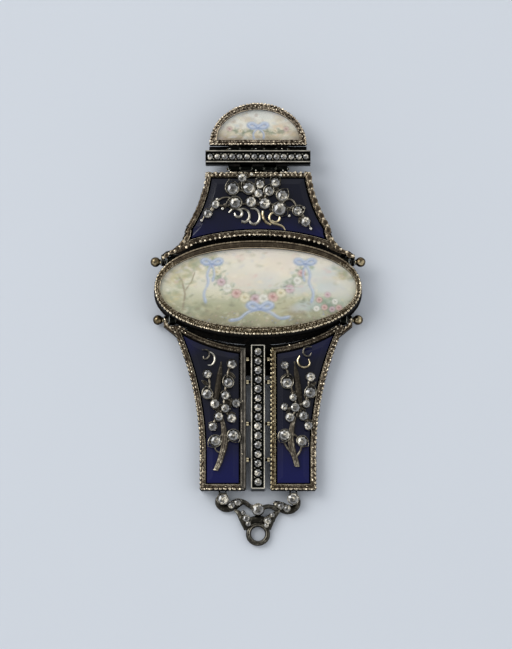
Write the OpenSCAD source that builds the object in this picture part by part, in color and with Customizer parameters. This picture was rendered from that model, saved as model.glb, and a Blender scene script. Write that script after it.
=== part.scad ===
// A chatelaine: a hinged chain of silver-framed plates with enamel, painted plaques and rose-cut stones.
// It lies face up on z = 0. Its length runs along Y, and x = 0, y = 0 is the middle of its outline.

/* [Oval] */
// Width of the oval case
oval_w = 51.9; // [49:0.1:56]
// Height of the oval case
oval_h = 24.3; // [22:0.1:27]
// Thickness of the oval case
oval_t = 6.6; // [6.2:0.1:8]
// Metal border left and right of the oval picture
oval_side = 1.5; // [1.2:0.1:2.2]
// Metal border above and below the oval picture
oval_top = 2.1; // [1.6:0.1:2.6]
// Rise of the oval's glass above its rim
oval_bulge = 0.8; // [0.4:0.1:1.4]

/* [Upper plates] */
// Height of the back of the upper plates above the surface that the piece lies on
lift = 3.4; // [3:0.1:4]
// Thickness of the upper plates
plate_t = 3; // [2.8:0.1:3.6]
// Gap between the oval and the upper panel at the middle
panel_gap = 1.1; // [0.9:0.1:1.6]
// Height of the upper panel at the middle
panel_h = 16.5; // [15:0.1:20]
// Width of the upper panel at its top edge
panel_top_w = 26.3; // [24:0.1:29]
// Depth by which each side of the upper panel curves in
panel_waist = 2.3; // [1.6:0.1:2.8]
// Gap between the upper panel and the bar
bar_gap = 1.95; // [1.7:0.05:2.4]
// Height of the upper bar, measured along the chain
bar_h = 3.3; // [3:0.1:4]
// Width of the upper bar
bar_w = 26.3; // [25.5:0.1:29]
// Thickness of the upper bar
bar_t = 3.4; // [3:0.1:4]
// Ledge along the lower edge of the upper bar
bar_ledge = 0.5; // [0.3:0.1:0.7]
// Gap between the bar and the crest
crest_gap = 1.45; // [1.35:0.05:1.8]
// Height of the half-round crest
crest_h = 11.1; // [10:0.1:13]
// Width of the crest
crest_w = 24.6; // [23:0.1:28]
// Metal border below the crest's picture
crest_foot = 1.4; // [1.2:0.1:2]
// Metal border at the sides and top of the crest's picture
crest_side = 1.9; // [1.5:0.1:2.4]
// Rise of the crest's glass above its rim
crest_bulge = 0.4; // [0.2:0.1:1]

/* [Lower plates] */
// Thickness of the lower frames
lower_t = 3.4; // [3:0.1:4]
// Gap between the oval and the lower plates at the middle
lower_gap = 2.55; // [2.4:0.05:3.2]
// Length of the lower frames at the middle
lower_l = 36.2; // [34:0.1:44]
// Distance from the middle line to the inner side of each lower frame
inner_x = 2.95; // [2.85:0.05:3.6]
// Distance from the middle line to the outer side of each lower frame at its foot
outer_x = 14.6; // [14:0.1:16]
// Length of the straight stretch of the outer side
straight_l = 9.3; // [6:0.1:14]
// Width of the narrow lower bar
mid_bar_w = 3.4; // [3:0.1:3.6]
// Thickness of the narrow lower bar
mid_bar_t = 3.6; // [3.4:0.1:4.2]
// Diameter of the rods that carry the narrow bar
rod_d = 0.8; // [0.6:0.05:0.9]

/* [Frames and plates] */
// Metal border of the enamelled panels
border = 1.5; // [1.4:0.05:1.9]
// Thickness of a frame's back
floor_t = 0.8; // [0.6:0.05:1]
// Width of the lip that holds a plate in its frame
lip = 0.35; // [0.25:0.05:0.45]
// Clearance of a plate in its frame
fit = 0.05; // [0.04:0.01:0.08]
// Thickness of the part of an enamel plate that lies under the lip
flange_t = 0.9; // [0.6:0.1:1.2]
// Width of the bevel of an enamel plate
bevel = 1.1; // [0.8:0.1:1.5]
// Thickness of a painted plaque
plaque_t = 0.6; // [0.5:0.05:0.7]
// Thickness of a glass at its edge
glass_t = 0.5; // [0.4:0.05:0.6]
// Depth from a picture frame's rim to its back
picture_depth = 2.2; // [2:0.05:2.4]
// Height of the beaded tier of a rim
rim_t = 0.7; // [0.5:0.1:0.9]
// Depth of the notches of a rim
notch = 0.22; // [0.1:0.02:0.3]
// Spacing of the notches on the panels
panel_pitch = 1.8; // [1.4:0.1:2.4]
// Spacing of the notches on the oval and the crest
fine_pitch = 1; // [0.9:0.1:1.4]

/* [Hinges] */
// Height of the upper side hinges above the oval's middle
upper_axis = 6.8; // [6.4:0.1:7.4]
// Depth of the lower side hinges below the oval's middle
lower_axis = 7.3; // [7:0.1:7.8]
// Radius of the oval's hinge lugs
lug_r = 1.3; // [1.1:0.05:1.4]
// Radius of the panels' hinge ears
ear_r = 1; // [0.85:0.05:1.1]
// Thickness of a hinge ear
ear_t = 1.1; // [0.9:0.1:1.4]
// Diameter of the ball on a hinge pin
ball_d = 2.5; // [2.2:0.1:2.8]
// Diameter of the shaft of a ball pin
shaft_d = 0.9; // [0.7:0.05:1]
// Width of the knuckle rows of the bar
row_w = 15; // [12:0.5:18]
// Knuckles in a row
knuckles_n = 5; // [3:2:7]
// Gap between neighbouring knuckles
knuckle_gap = 0.12; // [0.08:0.02:0.2]
// Diameter of the pin in a knuckle row
row_pin_d = 0.6; // [0.5:0.05:0.65]
// Running clearance between a hinge pin and its bore
pin_fit = 0.05; // [0.03:0.01:0.07]

/* [Stones] */
// Stones in the upper bar
bar_stones_n = 14; // [10:1:14]
// Diameter of the upper bar's stones
bar_stone_d = 1.6; // [1.3:0.05:1.65]
// Stones in the narrow lower bar
mid_stones_n = 15; // [10:1:15]
// Diameter of the narrow bar's stones
mid_stone_d = 1.9; // [1.5:0.05:2]
// Radius of an average collet of the sprays
collet_r = 1.3; // [1.1:0.02:1.35]
// Wall of a collet
collet_wall = 0.24; // [0.18:0.02:0.3]
// Height of the collets of the sprays
collet_h = 1.2; // [1:0.1:1.8]
// Width of the stems of the sprays
stem_w = 0.75; // [0.6:0.05:0.9]
// Thickness of the stems of the sprays
stem_t = 0.6; // [0.5:0.05:0.8]

/* [Belt hook] */
// Width of the hook
hook_w = 11; // [8:0.5:12]
// Thickness of the hook's strip
hook_t = 0.9; // [0.7:0.05:1]

/* [Drop] */
// Distance from the drop's hinge to the middle of its eye
drop_l = 9.9; // [9.6:0.1:12]
// Radius of the eye's hole
eye_r = 1.75; // [1.5:0.05:2]
// Thickness of the eye's wire
eye_wire = 1.45; // [1.2:0.05:1.6]
// Thickness of the drop's scrolls
drop_t = 1.4; // [1.2:0.1:1.5]
// Radius of the two head collets
head_r = 1.5; // [1.3:0.05:1.6]
// Radius of the drop's hinge barrels
barrel_r = 0.52; // [0.48:0.02:0.56]
// Diameter of the drop's hinge pins
drop_pin_d = 0.5; // [0.4:0.05:0.55]

/* [Hidden] */
$fn = 48;
spray_names = [for (i = [1:16]) str("upper_spray_stone_", i < 10 ? "0" : "", i)];
rod_names = ["cross_pin_1", "cross_pin_2", "cross_pin_3", "cross_pin_4"];

silver = "dimgray";
bright = "silver";
brass = "darkgoldenrod";
cobalt = "midnightblue";
ivory = "ivory";

// Sizes of the oval and the places of its hinges, before the chain is centred on y = 0
oval_a = oval_w / 2;
oval_b = oval_h / 2;
hinge_back = 0.74;
eye_out = eye_r + eye_wire;
reach_up = oval_b + panel_gap + panel_h + bar_gap + bar_h + crest_gap + crest_h;
reach_down = oval_b + lower_gap + lower_l + hinge_back + drop_l + eye_out;
oval_y = (reach_down - reach_up) / 2;

// Side hinges: the oval's lug lies inside, the panel's ear outside it, and the ball outside both
beside = 0.2;
clear_of_oval = 0.3;
function oval_edge(rise) = oval_a * sqrt(1 - pow(rise / oval_b, 2));
function ear_in(axis) = oval_edge(axis - ear_r) + clear_of_oval;
function ear_out(axis) = ear_in(axis) + ear_t;
function ball_x(axis) = ear_out(axis) + 0.15 + ball_d / 2;
upper_axis_y = oval_y + upper_axis;
upper_axis_z = lift + plate_t / 2;
lower_axis_y = oval_y - lower_axis;
lower_axis_z = lower_t / 2;

// Upper chain, from the oval outwards
front_z = lift + plate_t;
foot_y = upper_axis_y + lug_r + beside;
foot_in = ear_in(upper_axis) + 0.1;
foot_out = ear_out(upper_axis) + 0.05;
panel_y = oval_y + oval_b + panel_gap;
panel_top_y = panel_y + panel_h;
bar_y = panel_top_y + bar_gap;
bar_top_y = bar_y + bar_h;
bar_axis_y = panel_top_y + bar_gap / 2;
crest_axis_y = bar_top_y + crest_gap / 2;
crest_y = bar_top_y + crest_gap;
bar_tier_t = bar_t - plate_t / 2;
bar_row_r = bar_gap / 2 - 0.23;
crest_row_r = crest_gap / 2 - 0.12;

// Lower plates, from the oval outwards
lower_y = oval_y - oval_b - lower_gap;
lower_foot_y = lower_y - lower_l;
corner_x = ear_in(lower_axis) + 0.15;
corner_y = lower_axis_y;
tip_w = 0.9;
notch_y = lower_axis_y - lug_r - beside;
mid_bar_top_y = lower_y + 0.7;
mid_bar_foot_y = lower_foot_y + 0.3;
mid_bar_l = mid_bar_top_y - mid_bar_foot_y;
rod_shares = [0.09, 0.25, 0.54, 0.79];
rod_reach = inner_x + 1;
stone_margin = 1.7;
head_x = (inner_x + outer_x) / 2;
drop_axis_y = lower_foot_y - hinge_back;
drop_axis_z = 1;
eye_y = drop_axis_y - drop_l;

// Stones of the upper bouquet: x as a share of foot_out, y as a share of the panel's height above its
// feet, and the radius of the collet as a share of collet_r
upper_span = [foot_out, panel_top_y - foot_y];
bouquet = [
    [-0.16, 0.92, 0.88],
    [-0.27, 0.81, 1.18],
    [-0.10, 0.81, 1.12],
    [0.02, 0.86, 0.88],
    [0.18, 0.87, 0.98],
    [0.005, 0.735, 0.88],
    [0.11, 0.77, 0.90],
    [0.25, 0.71, 1.08],
    [-0.44, 0.61, 0.84],
    [-0.24, 0.63, 1.20],
    [-0.08, 0.64, 1.02],
    [0.07, 0.62, 1.10],
    [0.22, 0.555, 1.32],
    [-0.52, 0.50, 0.88],
    [0.41, 0.54, 0.94],
    [0.49, 0.40, 0.98]
];
// Pairs of collets that a stem joins
bouquet_stems = [
    [11, 5], [5, 3], [5, 2], [2, 0], [2, 1], [11, 6], [6, 4], [6, 7], [11, 12],
    [12, 14], [14, 15], [11, 10], [10, 9], [9, 8], [8, 13], [10, 5]
];
// Curls of the bouquet's stems, as shares like those above
bouquet_curls = [
    [[-0.24, 0.57], [-0.29, 0.53], [-0.30, 0.50], [-0.24, 0.545], [-0.18, 0.51], [-0.20, 0.45]],
    [[-0.08, 0.62], [-0.13, 0.56], [-0.09, 0.50], [-0.11, 0.43], [-0.14, 0.40]],
    [[-0.08, 0.64], [-0.02, 0.54], [0.01, 0.48], [0.00, 0.42], [-0.04, 0.37]],
    [[0.07, 0.62], [0.06, 0.50], [0.06, 0.42], [0.09, 0.36], [0.14, 0.34]],
    [[0.22, 0.56], [0.20, 0.46], [0.15, 0.48], [0.12, 0.42], [0.14, 0.36], [0.22, 0.35], [0.27, 0.29]]
];
// Leaves of the bouquet: base, tip
bouquet_leaves = [
    [[-0.24, 0.63], [-0.35, 0.75]],
    [[-0.44, 0.61], [-0.36, 0.52]],
    [[0.22, 0.56], [0.36, 0.66]],
    [[0.18, 0.87], [0.27, 0.84]],
    [[0.41, 0.54], [0.33, 0.46]],
    [[-0.52, 0.50], [-0.58, 0.41]],
    [[0.49, 0.40], [0.54, 0.31]]
];

// Stones of the two lower sprigs: x as a share of the frame's width at its foot, y as a share of its
// length, and the radius of the collet as a share of collet_r
sprig_span = [outer_x - inner_x, lower_l];
left_sprig = [
    [0.31, 0.88, 0.98],
    [0.38, 0.75, 1.02],
    [0.83, 0.81, 0.90],
    [0.83, 0.67, 0.98],
    [0.44, 0.66, 0.92],
    [0.67, 0.60, 0.96],
    [0.44, 0.57, 0.96],
    [0.21, 0.605, 0.88],
    [0.59, 0.51, 0.96],
    [0.31, 0.50, 0.96],
    [0.71, 0.44, 0.88],
    [0.27, 0.38, 1.15],
    [0.66, 0.34, 1.15]
];
right_sprig = [
    [0.32, 0.87, 0.80],
    [0.37, 0.75, 1.15],
    [0.87, 0.79, 0.96],
    [0.87, 0.68, 1.06],
    [0.50, 0.645, 0.78],
    [0.31, 0.58, 0.76],
    [0.55, 0.575, 0.96],
    [0.78, 0.60, 0.82],
    [0.43, 0.505, 0.96],
    [0.72, 0.515, 0.96],
    [0.83, 0.445, 0.88],
    [0.32, 0.38, 1.15],
    [0.69, 0.34, 1.04]
];
left_stems = [[0, 1], [1, 4], [4, 6], [4, 7], [6, 5], [5, 3], [3, 2], [6, 8], [6, 9], [8, 10]];
right_stems = [[0, 1], [1, 4], [4, 6], [6, 5], [6, 7], [7, 3], [3, 2], [6, 8], [6, 9], [9, 10]];
// Main stem of a sprig, from its foot to the lowest collets
sprig_stem = [[0.62, 0.13], [0.53, 0.21], [0.46, 0.32], [0.48, 0.43], [0.53, 0.51]];
// Side shoots from the main stem to the two lowest collets and to the foot
sprig_shoots = [[[0.46, 0.32], [0.28, 0.37]], [[0.46, 0.32], [0.67, 0.34]], [[0.53, 0.21], [0.68, 0.16]]];
// Leaf of each sprig from base to tip, and the curl at a sprig's head
left_leaf = [[0.68, 0.62], [0.53, 0.90]];
right_leaf = [[0.76, 0.63], [0.52, 0.86]];
sprig_curl = [[0.87, 0.80], [0.70, 0.86], [0.62, 0.92], [0.70, 0.96], [0.82, 0.94]];

// Scroll arm and leg of the drop: x as a share of head_x, y as a share of drop_l below the hinge, width
drop_arm = [
    [1.15, 0.10, 1.0], [1.165, 0.23, 1.3], [1.05, 0.35, 1.5], [0.83, 0.38, 1.9],
    [0.64, 0.30, 2.0], [0.47, 0.24, 1.5], [0.30, 0.29, 1.1], [0.10, 0.38, 1.3]
];
drop_leg = [[0.57, 0.36, 0.5], [0.42, 0.49, 1.3], [0.31, 0.63, 1.9], [0.26, 0.77, 1.8], [0.25, 0.89, 1.4]];
// Small stones of one half of the drop: x and y as above, radius of the stone
drop_gems = [[0.75, 0.335, 0.68], [0.57, 0.265, 0.68], [0.40, 0.52, 0.42], [0.295, 0.645, 0.66], [0.25, 0.785, 0.5]];

// Points of an ellipse about [0, 0] from one angle to another, anticlockwise
function ellipse(a, b, n, from, to) =
    [for (i = [0:n]) let (t = from + (to - from) * i / n) [a * cos(t), b * sin(t)]];

// Points from p to q on the circle about c, the short way round
function arc(c, p, q, n) =
    let (
        r = norm(p - c),
        from = atan2(p.y - c.y, p.x - c.x),
        to = atan2(q.y - c.y, q.x - c.x),
        turn = (to - from + 540) % 360 - 180
    )
    [for (i = [0:n]) c + r * [cos(from + turn * i / n), sin(from + turn * i / n)]];

// Centre of the circle through p and q whose arc lies sag to the left of the line from p to q
function bulge_centre(p, q, sag) =
    let (
        half = norm(q - p) / 2,
        left = [p.y - q.y, q.x - p.x] / (2 * half),
        r = (half * half + sag * sag) / (2 * sag)
    )
    (p + q) / 2 + left * (sag - r);

// Point where two circles meet, on the left (1) or the right (-1) of the line from c to e
function meet(c, r, e, s, side) =
    let (
        l = norm(e - c),
        u = (e - c) / l,
        t = (l * l + r * r - s * s) / (2 * l),
        h = sqrt(r * r - t * t)
    )
    c + u * t + [-u.y, u.x] * h * side;

// Closed outline made of sides that share their end points
function joined(sides) = [for (s = sides) for (i = [0:len(s) - 2]) s[i]];

// Lengths run along a line of points up to each point
function runs(p) =
    [for (i = 0, s = 0; i < len(p); s = s + (i < len(p) - 1 ? norm(p[i + 1] - p[i]) : 0), i = i + 1) s];

// Point at the length s along a line of points whose runs are c, moved left by d
function along(p, c, s, d) =
    let (
        k = max([for (j = [0:len(p) - 2]) if (c[j] <= s) j]),
        u = (p[k + 1] - p[k]) / norm(p[k + 1] - p[k])
    )
    p[k] + u * (s - c[k]) + [-u.y, u.x] * d;

// Outline just inside the given sides, with evenly spaced notches
rim_step = 0.08;
function beaded(sides, pitch) =
    [
        for (p = sides)
        let (c = runs(p), count = max(1, round(c[len(c) - 1] / pitch)), step = c[len(c) - 1] / count)
        for (k = [0:count - 1]) for (m = [[0.3, 0], [0.5, notch], [0.7, 0]])
        along(p, c, (k + m[0]) * step, rim_step + m[1])
    ];

// Outline of a bent strip whose middle line is p and whose width at each point is in w
function strip(p, w) =
    let (
        n = len(p),
        left = [
            for (i = [0:n - 1])
            let (u = p[min(i + 1, n - 1)] - p[max(i - 1, 0)], l = norm(u))
            [-u.y, u.x] / l * w[i] / 2
        ]
    )
    concat([for (i = [0:n - 1]) p[i] - left[i]], [for (i = [n - 1:-1:0]) p[i] + left[i]]);

// Regular polygon
function ring(r, n, turn) = [for (i = [0:n - 1]) r * [cos(turn + 360 * i / n), sin(turn + 360 * i / n)]];

// Points moved towards the hub
function shrunk(p, hub, k) = [for (q = p) hub + (q - hub) * k];

// Place given in shares of a span from an origin
function placed(share, origin, span) = [origin.x + share.x * span.x, origin.y + share.y * span.y];

// Solid through level outlines of equal count, each [z, points], closed by fans about the hub
module loft(levels, hub) {
    n = len(levels[0][1]);
    m = len(levels);
    points = concat(
        [for (v = levels) for (p = v[1]) [p.x, p.y, v[0]]],
        [[hub.x, hub.y, levels[0][0]], [hub.x, hub.y, levels[m - 1][0]]]
    );
    walls = [
        for (k = [0:m - 2]) for (i = [0:n - 1])
        let (j = (i + 1) % n, low = k * n, up = (k + 1) * n)
        each [[low + i, up + i, up + j], [low + i, up + j, low + j]]
    ];
    caps = [
        for (i = [0:n - 1])
        let (j = (i + 1) % n, top = (m - 1) * n)
        each [[m * n, i, j], [m * n + 1, top + j, top + i]]
    ];
    polyhedron(points = points, faces = concat(walls, caps));
}

// Upright prism
module prism(points, from, to) {
    translate([0, 0, from])
        linear_extrude(to - from)
            polygon(points);
}

// Cylinder along X from one x to another
module axle(r, from, to, y, z) {
    translate([from, y, z])
        rotate([0, 90, 0])
            cylinder(r = r, h = to - from);
}

// Frame with a beaded rim, a pocket for its plate and a smaller window through its lip
module frame(sides, pocket, window, back, front, bed, lip_z, pitch) {
    difference() {
        union() {
            prism(joined(sides), back, front - rim_t);
            prism(beaded(sides, pitch), front - rim_t - 0.1, front);
        }
        prism(pocket, bed, lip_z);
        prism(window, lip_z - 0.1, front + 1);
    }
}

// Enamel plate: an edge that lies under the lip, then a bevel up to a flat face
module enamel(edge, window, face, bed, front, hub) {
    edge_z = bed + fit + flange_t;
    color(cobalt)
        loft([
            [bed + fit, edge],
            [edge_z, edge],
            [edge_z, window],
            [edge_z + 0.35, window],
            [front - 0.1, face]
        ], hub);
}

// Domed glass: an edge that lies under the lip, then a wall in the window and a dome
module dome(edge, window, front, bulge, hub) {
    edge_z = front - picture_depth + 2 * fit + plaque_t;
    wall_z = front - 0.3;
    color("lightgray")
        loft(concat(
            [[edge_z, edge], [edge_z + glass_t, edge], [edge_z + glass_t, window]],
            [
                for (k = [1, 0.92, 0.78, 0.55, 0.25])
                [wall_z + (front + bulge - wall_z) * (1 - k * k), shrunk(window, hub, k)]
            ]
        ), hub);
}

// Every second knuckle of a row along X, with a web that reaches to its plate
module knuckle_row(first, r, y, z, reach) {
    step = row_w / knuckles_n;
    for (k = [first:2:knuckles_n - 1]) {
        from = -row_w / 2 + step * k + knuckle_gap / 2;
        axle(r, from, from + step - knuckle_gap, y, z);
        translate([from, y + min(0, reach), z - r * 0.8])
            cube([step - knuckle_gap, abs(reach), r * 1.6]);
    }
}

module row_bore(y, z) {
    axle(row_pin_d / 2 + pin_fit, -row_w / 2 - 1, row_w / 2 + 1, y, z);
}

module row_pin(y, z) {
    color(silver)
        axle(row_pin_d / 2, -row_w / 2 - 0.3, row_w / 2 + 0.3, y, z);
}

// Rose-cut stone on z = 0 with 8 sides, 16 crown facets and a table
module gem(r) {
    loft([[0, ring(r * 0.85, 8, 0)], [r * 0.25, ring(r, 8, 0)], [r * 0.8, ring(r * 0.5, 8, 22.5)]], [0, 0]);
}

// Stone of a collet of radius r whose rim is at z
function gem_r(r) = r - collet_wall - fit;
module seated_gem(place, r, rim_z) {
    translate([place.x, place.y, rim_z - 0.55 * r])
        gem(gem_r(r));
}

// Flat bar with round ends
module stem(p, q, w) {
    hull() {
        translate(p)
            cylinder(d = w, h = stem_t, $fn = 8);
        translate(q)
            cylinder(d = w, h = stem_t, $fn = 8);
    }
}

module leaf(p, q) {
    hull() {
        translate(p)
            cylinder(d = stem_w * 0.7, h = stem_t, $fn = 6);
        translate(p * 0.55 + q * 0.45)
            cylinder(d = stem_w * 1.9, h = stem_t * 1.3, $fn = 6);
        translate(q)
            cylinder(d = stem_w * 0.3, h = stem_t, $fn = 6);
    }
}

module stem_line(points, w) {
    for (i = [0:len(points) - 2])
        stem(points[i], points[i + 1], w);
}

// One soldered spray: collets at the given places, and stems, curls and leaves between them.
// Its stems are cut by the stones' seats, so the seats come off last.
module spray(collets, stems, lines, leaves, z) {
    color(bright)
        translate([0, 0, z])
            difference() {
                union() {
                    for (c = collets)
                        translate([c.x, c.y, 0])
                            cylinder(r = c.z, h = collet_h, $fn = 10);
                    for (s = stems)
                        stem([collets[s[0]].x, collets[s[0]].y], [collets[s[1]].x, collets[s[1]].y], stem_w);
                    for (line = lines)
                        stem_line(line, stem_w);
                    for (l = leaves)
                        leaf(l[0], l[1]);
                }
                for (c = collets)
                    translate([c.x, c.y, collet_h - 0.55 * c.z - fit])
                        cylinder(r = c.z - collet_wall, h = collet_h, $fn = 10);
            }
}

// Outline of a half-round plate on the line y, with half width a and height b
function lunette(a, b, y) = [
    [[-a, y], [a, y]],
    [for (p = ellipse(a, b, 36, 0, 180)) [p.x, p.y + y]]
];

// Crest: window and plate outlines grow from the window's own half width and height
crest_a = crest_w / 2 - crest_side;
crest_b = crest_h - crest_foot - crest_side;
crest_hub = [0, crest_y + crest_foot + crest_b * 0.4];
function crest_window(grow) = joined(lunette(crest_a + grow, crest_b + 2 * grow, crest_y + crest_foot - grow));
picture_lip = glass_t + plaque_t + 3 * fit;

module crest_frame() {
    color(silver)
        difference() {
            union() {
                frame(
                    lunette(crest_w / 2, crest_h, crest_y), crest_window(lip), crest_window(0),
                    lift, front_z, front_z - picture_depth, front_z - picture_depth + picture_lip, fine_pitch
                );
                knuckle_row(0, crest_row_r, crest_axis_y, upper_axis_z, crest_gap / 2 + 0.3);
            }
            row_bore(crest_axis_y, upper_axis_z);
        }
}

module crest_miniature() {
    bed = front_z - picture_depth + fit;
    color(ivory)
        prism(crest_window(lip - fit), bed, bed + plaque_t);
}

module crest_glass() {
    dome(crest_window(lip - fit), crest_window(-fit), front_z, crest_bulge, crest_hub);
}

// Belt hook: a pad under the crest, a bend near its top, and a tongue that runs back along the
// surface, rises to just under the upper panel and ends in a turned-down tip
module belt_hook() {
    pad_z = lift - fit - hook_t / 2;
    tongue_z = hook_t / 2;
    bend_y = crest_y + crest_h - 3.5;
    bend_r = (pad_z - tongue_z) / 2;
    crown_z = lift - 0.25 - hook_t * 0.56;
    bend = ellipse(bend_r, bend_r, 10, 90, -90);
    line = concat(
        [[crest_y + 1.5, pad_z]],
        [for (p = bend) [bend_y + p.x, tongue_z + bend_r + p.y]],
        [[panel_y + 11, tongue_z], [panel_y + 5.1, crown_z], [panel_y + 1.4, tongue_z]]
    );
    color(silver)
        rotate([90, 0, 90])
            translate([0, 0, -hook_w / 2])
                linear_extrude(hook_w)
                    polygon(strip(line, [for (p = line) hook_t]));
}

// Upper bar: a wide base tier, a tier that carries the stones in a shallow channel, and knuckles
// on both long edges
bar_stone_y = (bar_y + bar_ledge + bar_top_y) / 2;
bar_front_z = lift + bar_t;
bar_seat_r = bar_stone_d / 2 + fit;
bar_stone_x = bar_w / 2 - bar_stone_d / 2 - 0.32;
function bar_place(i) = [-bar_stone_x + 2 * bar_stone_x * i / (bar_stones_n - 1), bar_stone_y];

module upper_bar() {
    channel = 0.3;
    color(silver)
        difference() {
            union() {
                translate([-bar_w / 2, bar_y, lift])
                    cube([bar_w, bar_h, plate_t / 2]);
                translate([-bar_w / 2, bar_y + bar_ledge, lift + plate_t / 2 - 0.1])
                    cube([bar_w, bar_h - bar_ledge, bar_tier_t + 0.1]);
                knuckle_row(0, bar_row_r, bar_axis_y, upper_axis_z, bar_gap / 2 + 0.3);
                knuckle_row(1, crest_row_r, crest_axis_y, upper_axis_z, -crest_gap / 2 - 0.3);
            }
            translate([-bar_w / 2 + channel, bar_y + bar_ledge + channel, bar_front_z - 0.4])
                cube([bar_w - 2 * channel, bar_h - bar_ledge - 2 * channel, 1]);
            for (i = [0:bar_stones_n - 1])
                translate([bar_place(i).x, bar_place(i).y, bar_front_z - 0.9])
                    cylinder(r = bar_seat_r, h = 2, $fn = 16);
            row_bore(bar_axis_y, upper_axis_z);
            row_bore(crest_axis_y, upper_axis_z);
        }
}

module upper_bar_stones() {
    color(bright)
        for (i = [0:bar_stones_n - 1])
            translate([bar_place(i).x, bar_place(i).y, bar_front_z - 0.9 + fit])
                gem(bar_stone_d / 2);
}

module crest_hinge_pin() {
    row_pin(crest_axis_y, upper_axis_z);
}

// Upper panel: its foot follows the oval and its sides curve in. The lines inside it keep the same
// centres, so a border has one width all along.
panel_half = panel_top_w / 2;
foot_sag = panel_y - foot_y;
arch_r = (foot_in * foot_in + foot_sag * foot_sag) / (2 * foot_sag);
arch_c = [0, panel_y - arch_r];
side_c = bulge_centre([foot_out, foot_y], [panel_half, panel_top_y], panel_waist);
side_r = norm(side_c - [panel_half, panel_top_y]);
panel_hub = [0, panel_y + panel_h * 0.42];
function flip(p) = [for (i = [len(p) - 1:-1:0]) [-p[i].x, p[i].y]];
function panel_side(d, foot) =
    let (y = panel_top_y - d, r = side_r + d)
    arc(side_c, foot, [side_c.x - sqrt(r * r - pow(y - side_c.y, 2)), y], 12);
function panel_arch(foot) = arc(arch_c, [-foot.x, foot.y], foot, 24);
function panel_inside(d) =
    let (foot = meet(arch_c, arch_r + d, side_c, side_r + d, 1), side = panel_side(d, foot))
    joined([panel_arch(foot), side, [side[12], [-side[12].x, side[12].y]], flip(side)]);
panel_outside =
    let (side = panel_side(0, [foot_out, foot_y]))
    [
        panel_arch([foot_in, foot_y]),
        [[foot_in, foot_y], [foot_out, foot_y]],
        side,
        [side[12], [-side[12].x, side[12].y]],
        flip(side),
        [[-foot_out, foot_y], [-foot_in, foot_y]]
    ];

module upper_frame() {
    bed = lift + floor_t;
    color(silver)
        difference() {
            union() {
                frame(
                    panel_outside, panel_inside(border - lip), panel_inside(border),
                    lift, front_z, bed, bed + flange_t + 2 * fit, panel_pitch
                );
                knuckle_row(1, bar_row_r, bar_axis_y, upper_axis_z, -bar_gap / 2 - 0.3);
                for (s = [0, 1])
                    mirror([s, 0, 0]) {
                        axle(ear_r, ear_in(upper_axis), ear_out(upper_axis), upper_axis_y, upper_axis_z);
                        translate([ear_in(upper_axis), upper_axis_y, upper_axis_z - ear_r * 0.8])
                            cube([ear_t, lug_r + beside + 0.25, ear_r * 1.6]);
                    }
            }
            row_bore(bar_axis_y, upper_axis_z);
            axle(shaft_d / 2 + pin_fit, -oval_w, oval_w, upper_axis_y, upper_axis_z);
        }
}

module upper_enamel() {
    enamel(
        panel_inside(border - lip + fit), panel_inside(border + fit), panel_inside(border + fit + bevel),
        lift + floor_t, front_z, panel_hub
    );
}

bouquet_at = [0, foot_y];
function bouquet_collet(i) =
    let (p = placed(bouquet[i], bouquet_at, upper_span))
    [p.x, p.y, bouquet[i].z * collet_r];
function placed_all(lines, origin, span) = [for (line = lines) [for (p = line) placed(p, origin, span)]];

module upper_spray() {
    spray(
        [for (i = [0:len(bouquet) - 1]) bouquet_collet(i)],
        bouquet_stems,
        placed_all(bouquet_curls, bouquet_at, upper_span),
        placed_all(bouquet_leaves, bouquet_at, upper_span),
        front_z + fit
    );
}

module upper_spray_stone(i) {
    color(bright)
        seated_gem(bouquet_collet(i), bouquet_collet(i).z, front_z + fit + collet_h);
}

module bar_hinge_pin() {
    row_pin(bar_axis_y, upper_axis_z);
}

// Oval: a thick case with a beaded rim and two lugs at each side, bored for the ball pins
function oval_line(a, b) = [for (p = ellipse(a, b, 96, 0, 360)) [p.x, p.y + oval_y]];
function oval_window(grow) =
    let (a = oval_a - oval_side + grow, b = oval_b - oval_top + grow)
    [for (i = [0:63]) [a * cos(i * 360 / 64), oval_y + b * sin(i * 360 / 64)]];
bore_depth = 0.6;

module oval_frame() {
    bed = oval_t - picture_depth;
    hinges = [[upper_axis, upper_axis_y, upper_axis_z], [lower_axis, lower_axis_y, lower_axis_z]];
    color(silver)
        difference() {
            frame_with_lugs(hinges, bed);
            for (s = [0, 1])
                mirror([s, 0, 0])
                    for (h = hinges)
                        axle(shaft_d / 2 + pin_fit, oval_edge(h[0]) - bore_depth, oval_w, h[1], h[2]);
        }
}

module frame_with_lugs(hinges, bed) {
    difference() {
        union() {
            prism(joined([oval_line(oval_a, oval_b)]), 0, oval_t - rim_t);
            prism(beaded([oval_line(oval_a, oval_b)], fine_pitch), oval_t - rim_t - 0.1, oval_t);
            for (s = [0, 1])
                mirror([s, 0, 0])
                    for (h = hinges)
                        axle(lug_r, oval_edge(h[0]) - 2, ear_in(h[0]) - beside, h[1], h[2]);
        }
        prism(oval_window(lip), bed, bed + picture_lip);
        prism(oval_window(0), bed + picture_lip - 0.1, oval_t + 1);
    }
}

module oval_miniature() {
    bed = oval_t - picture_depth + fit;
    color(ivory)
        prism(oval_window(lip - fit), bed, bed + plaque_t);
}

module oval_glass() {
    dome(oval_window(lip - fit), oval_window(-fit), oval_t, oval_bulge, [0, oval_y]);
}

// Ball pin of the right side; the left one is its mirror image
module ball_pin(axis, y, z) {
    color(brass) {
        axle(shaft_d / 2, oval_edge(axis) - bore_depth + 0.1, ball_x(axis), y, z);
        axle(shaft_d / 2 + 0.35, ear_out(axis) + 0.1, ball_x(axis) - ball_d / 4, y, z);
        translate([ball_x(axis), y, z])
            sphere(d = ball_d);
    }
}

module upper_ball_pin_left() {
    mirror([1, 0, 0])
        ball_pin(upper_axis, upper_axis_y, upper_axis_z);
}

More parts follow.
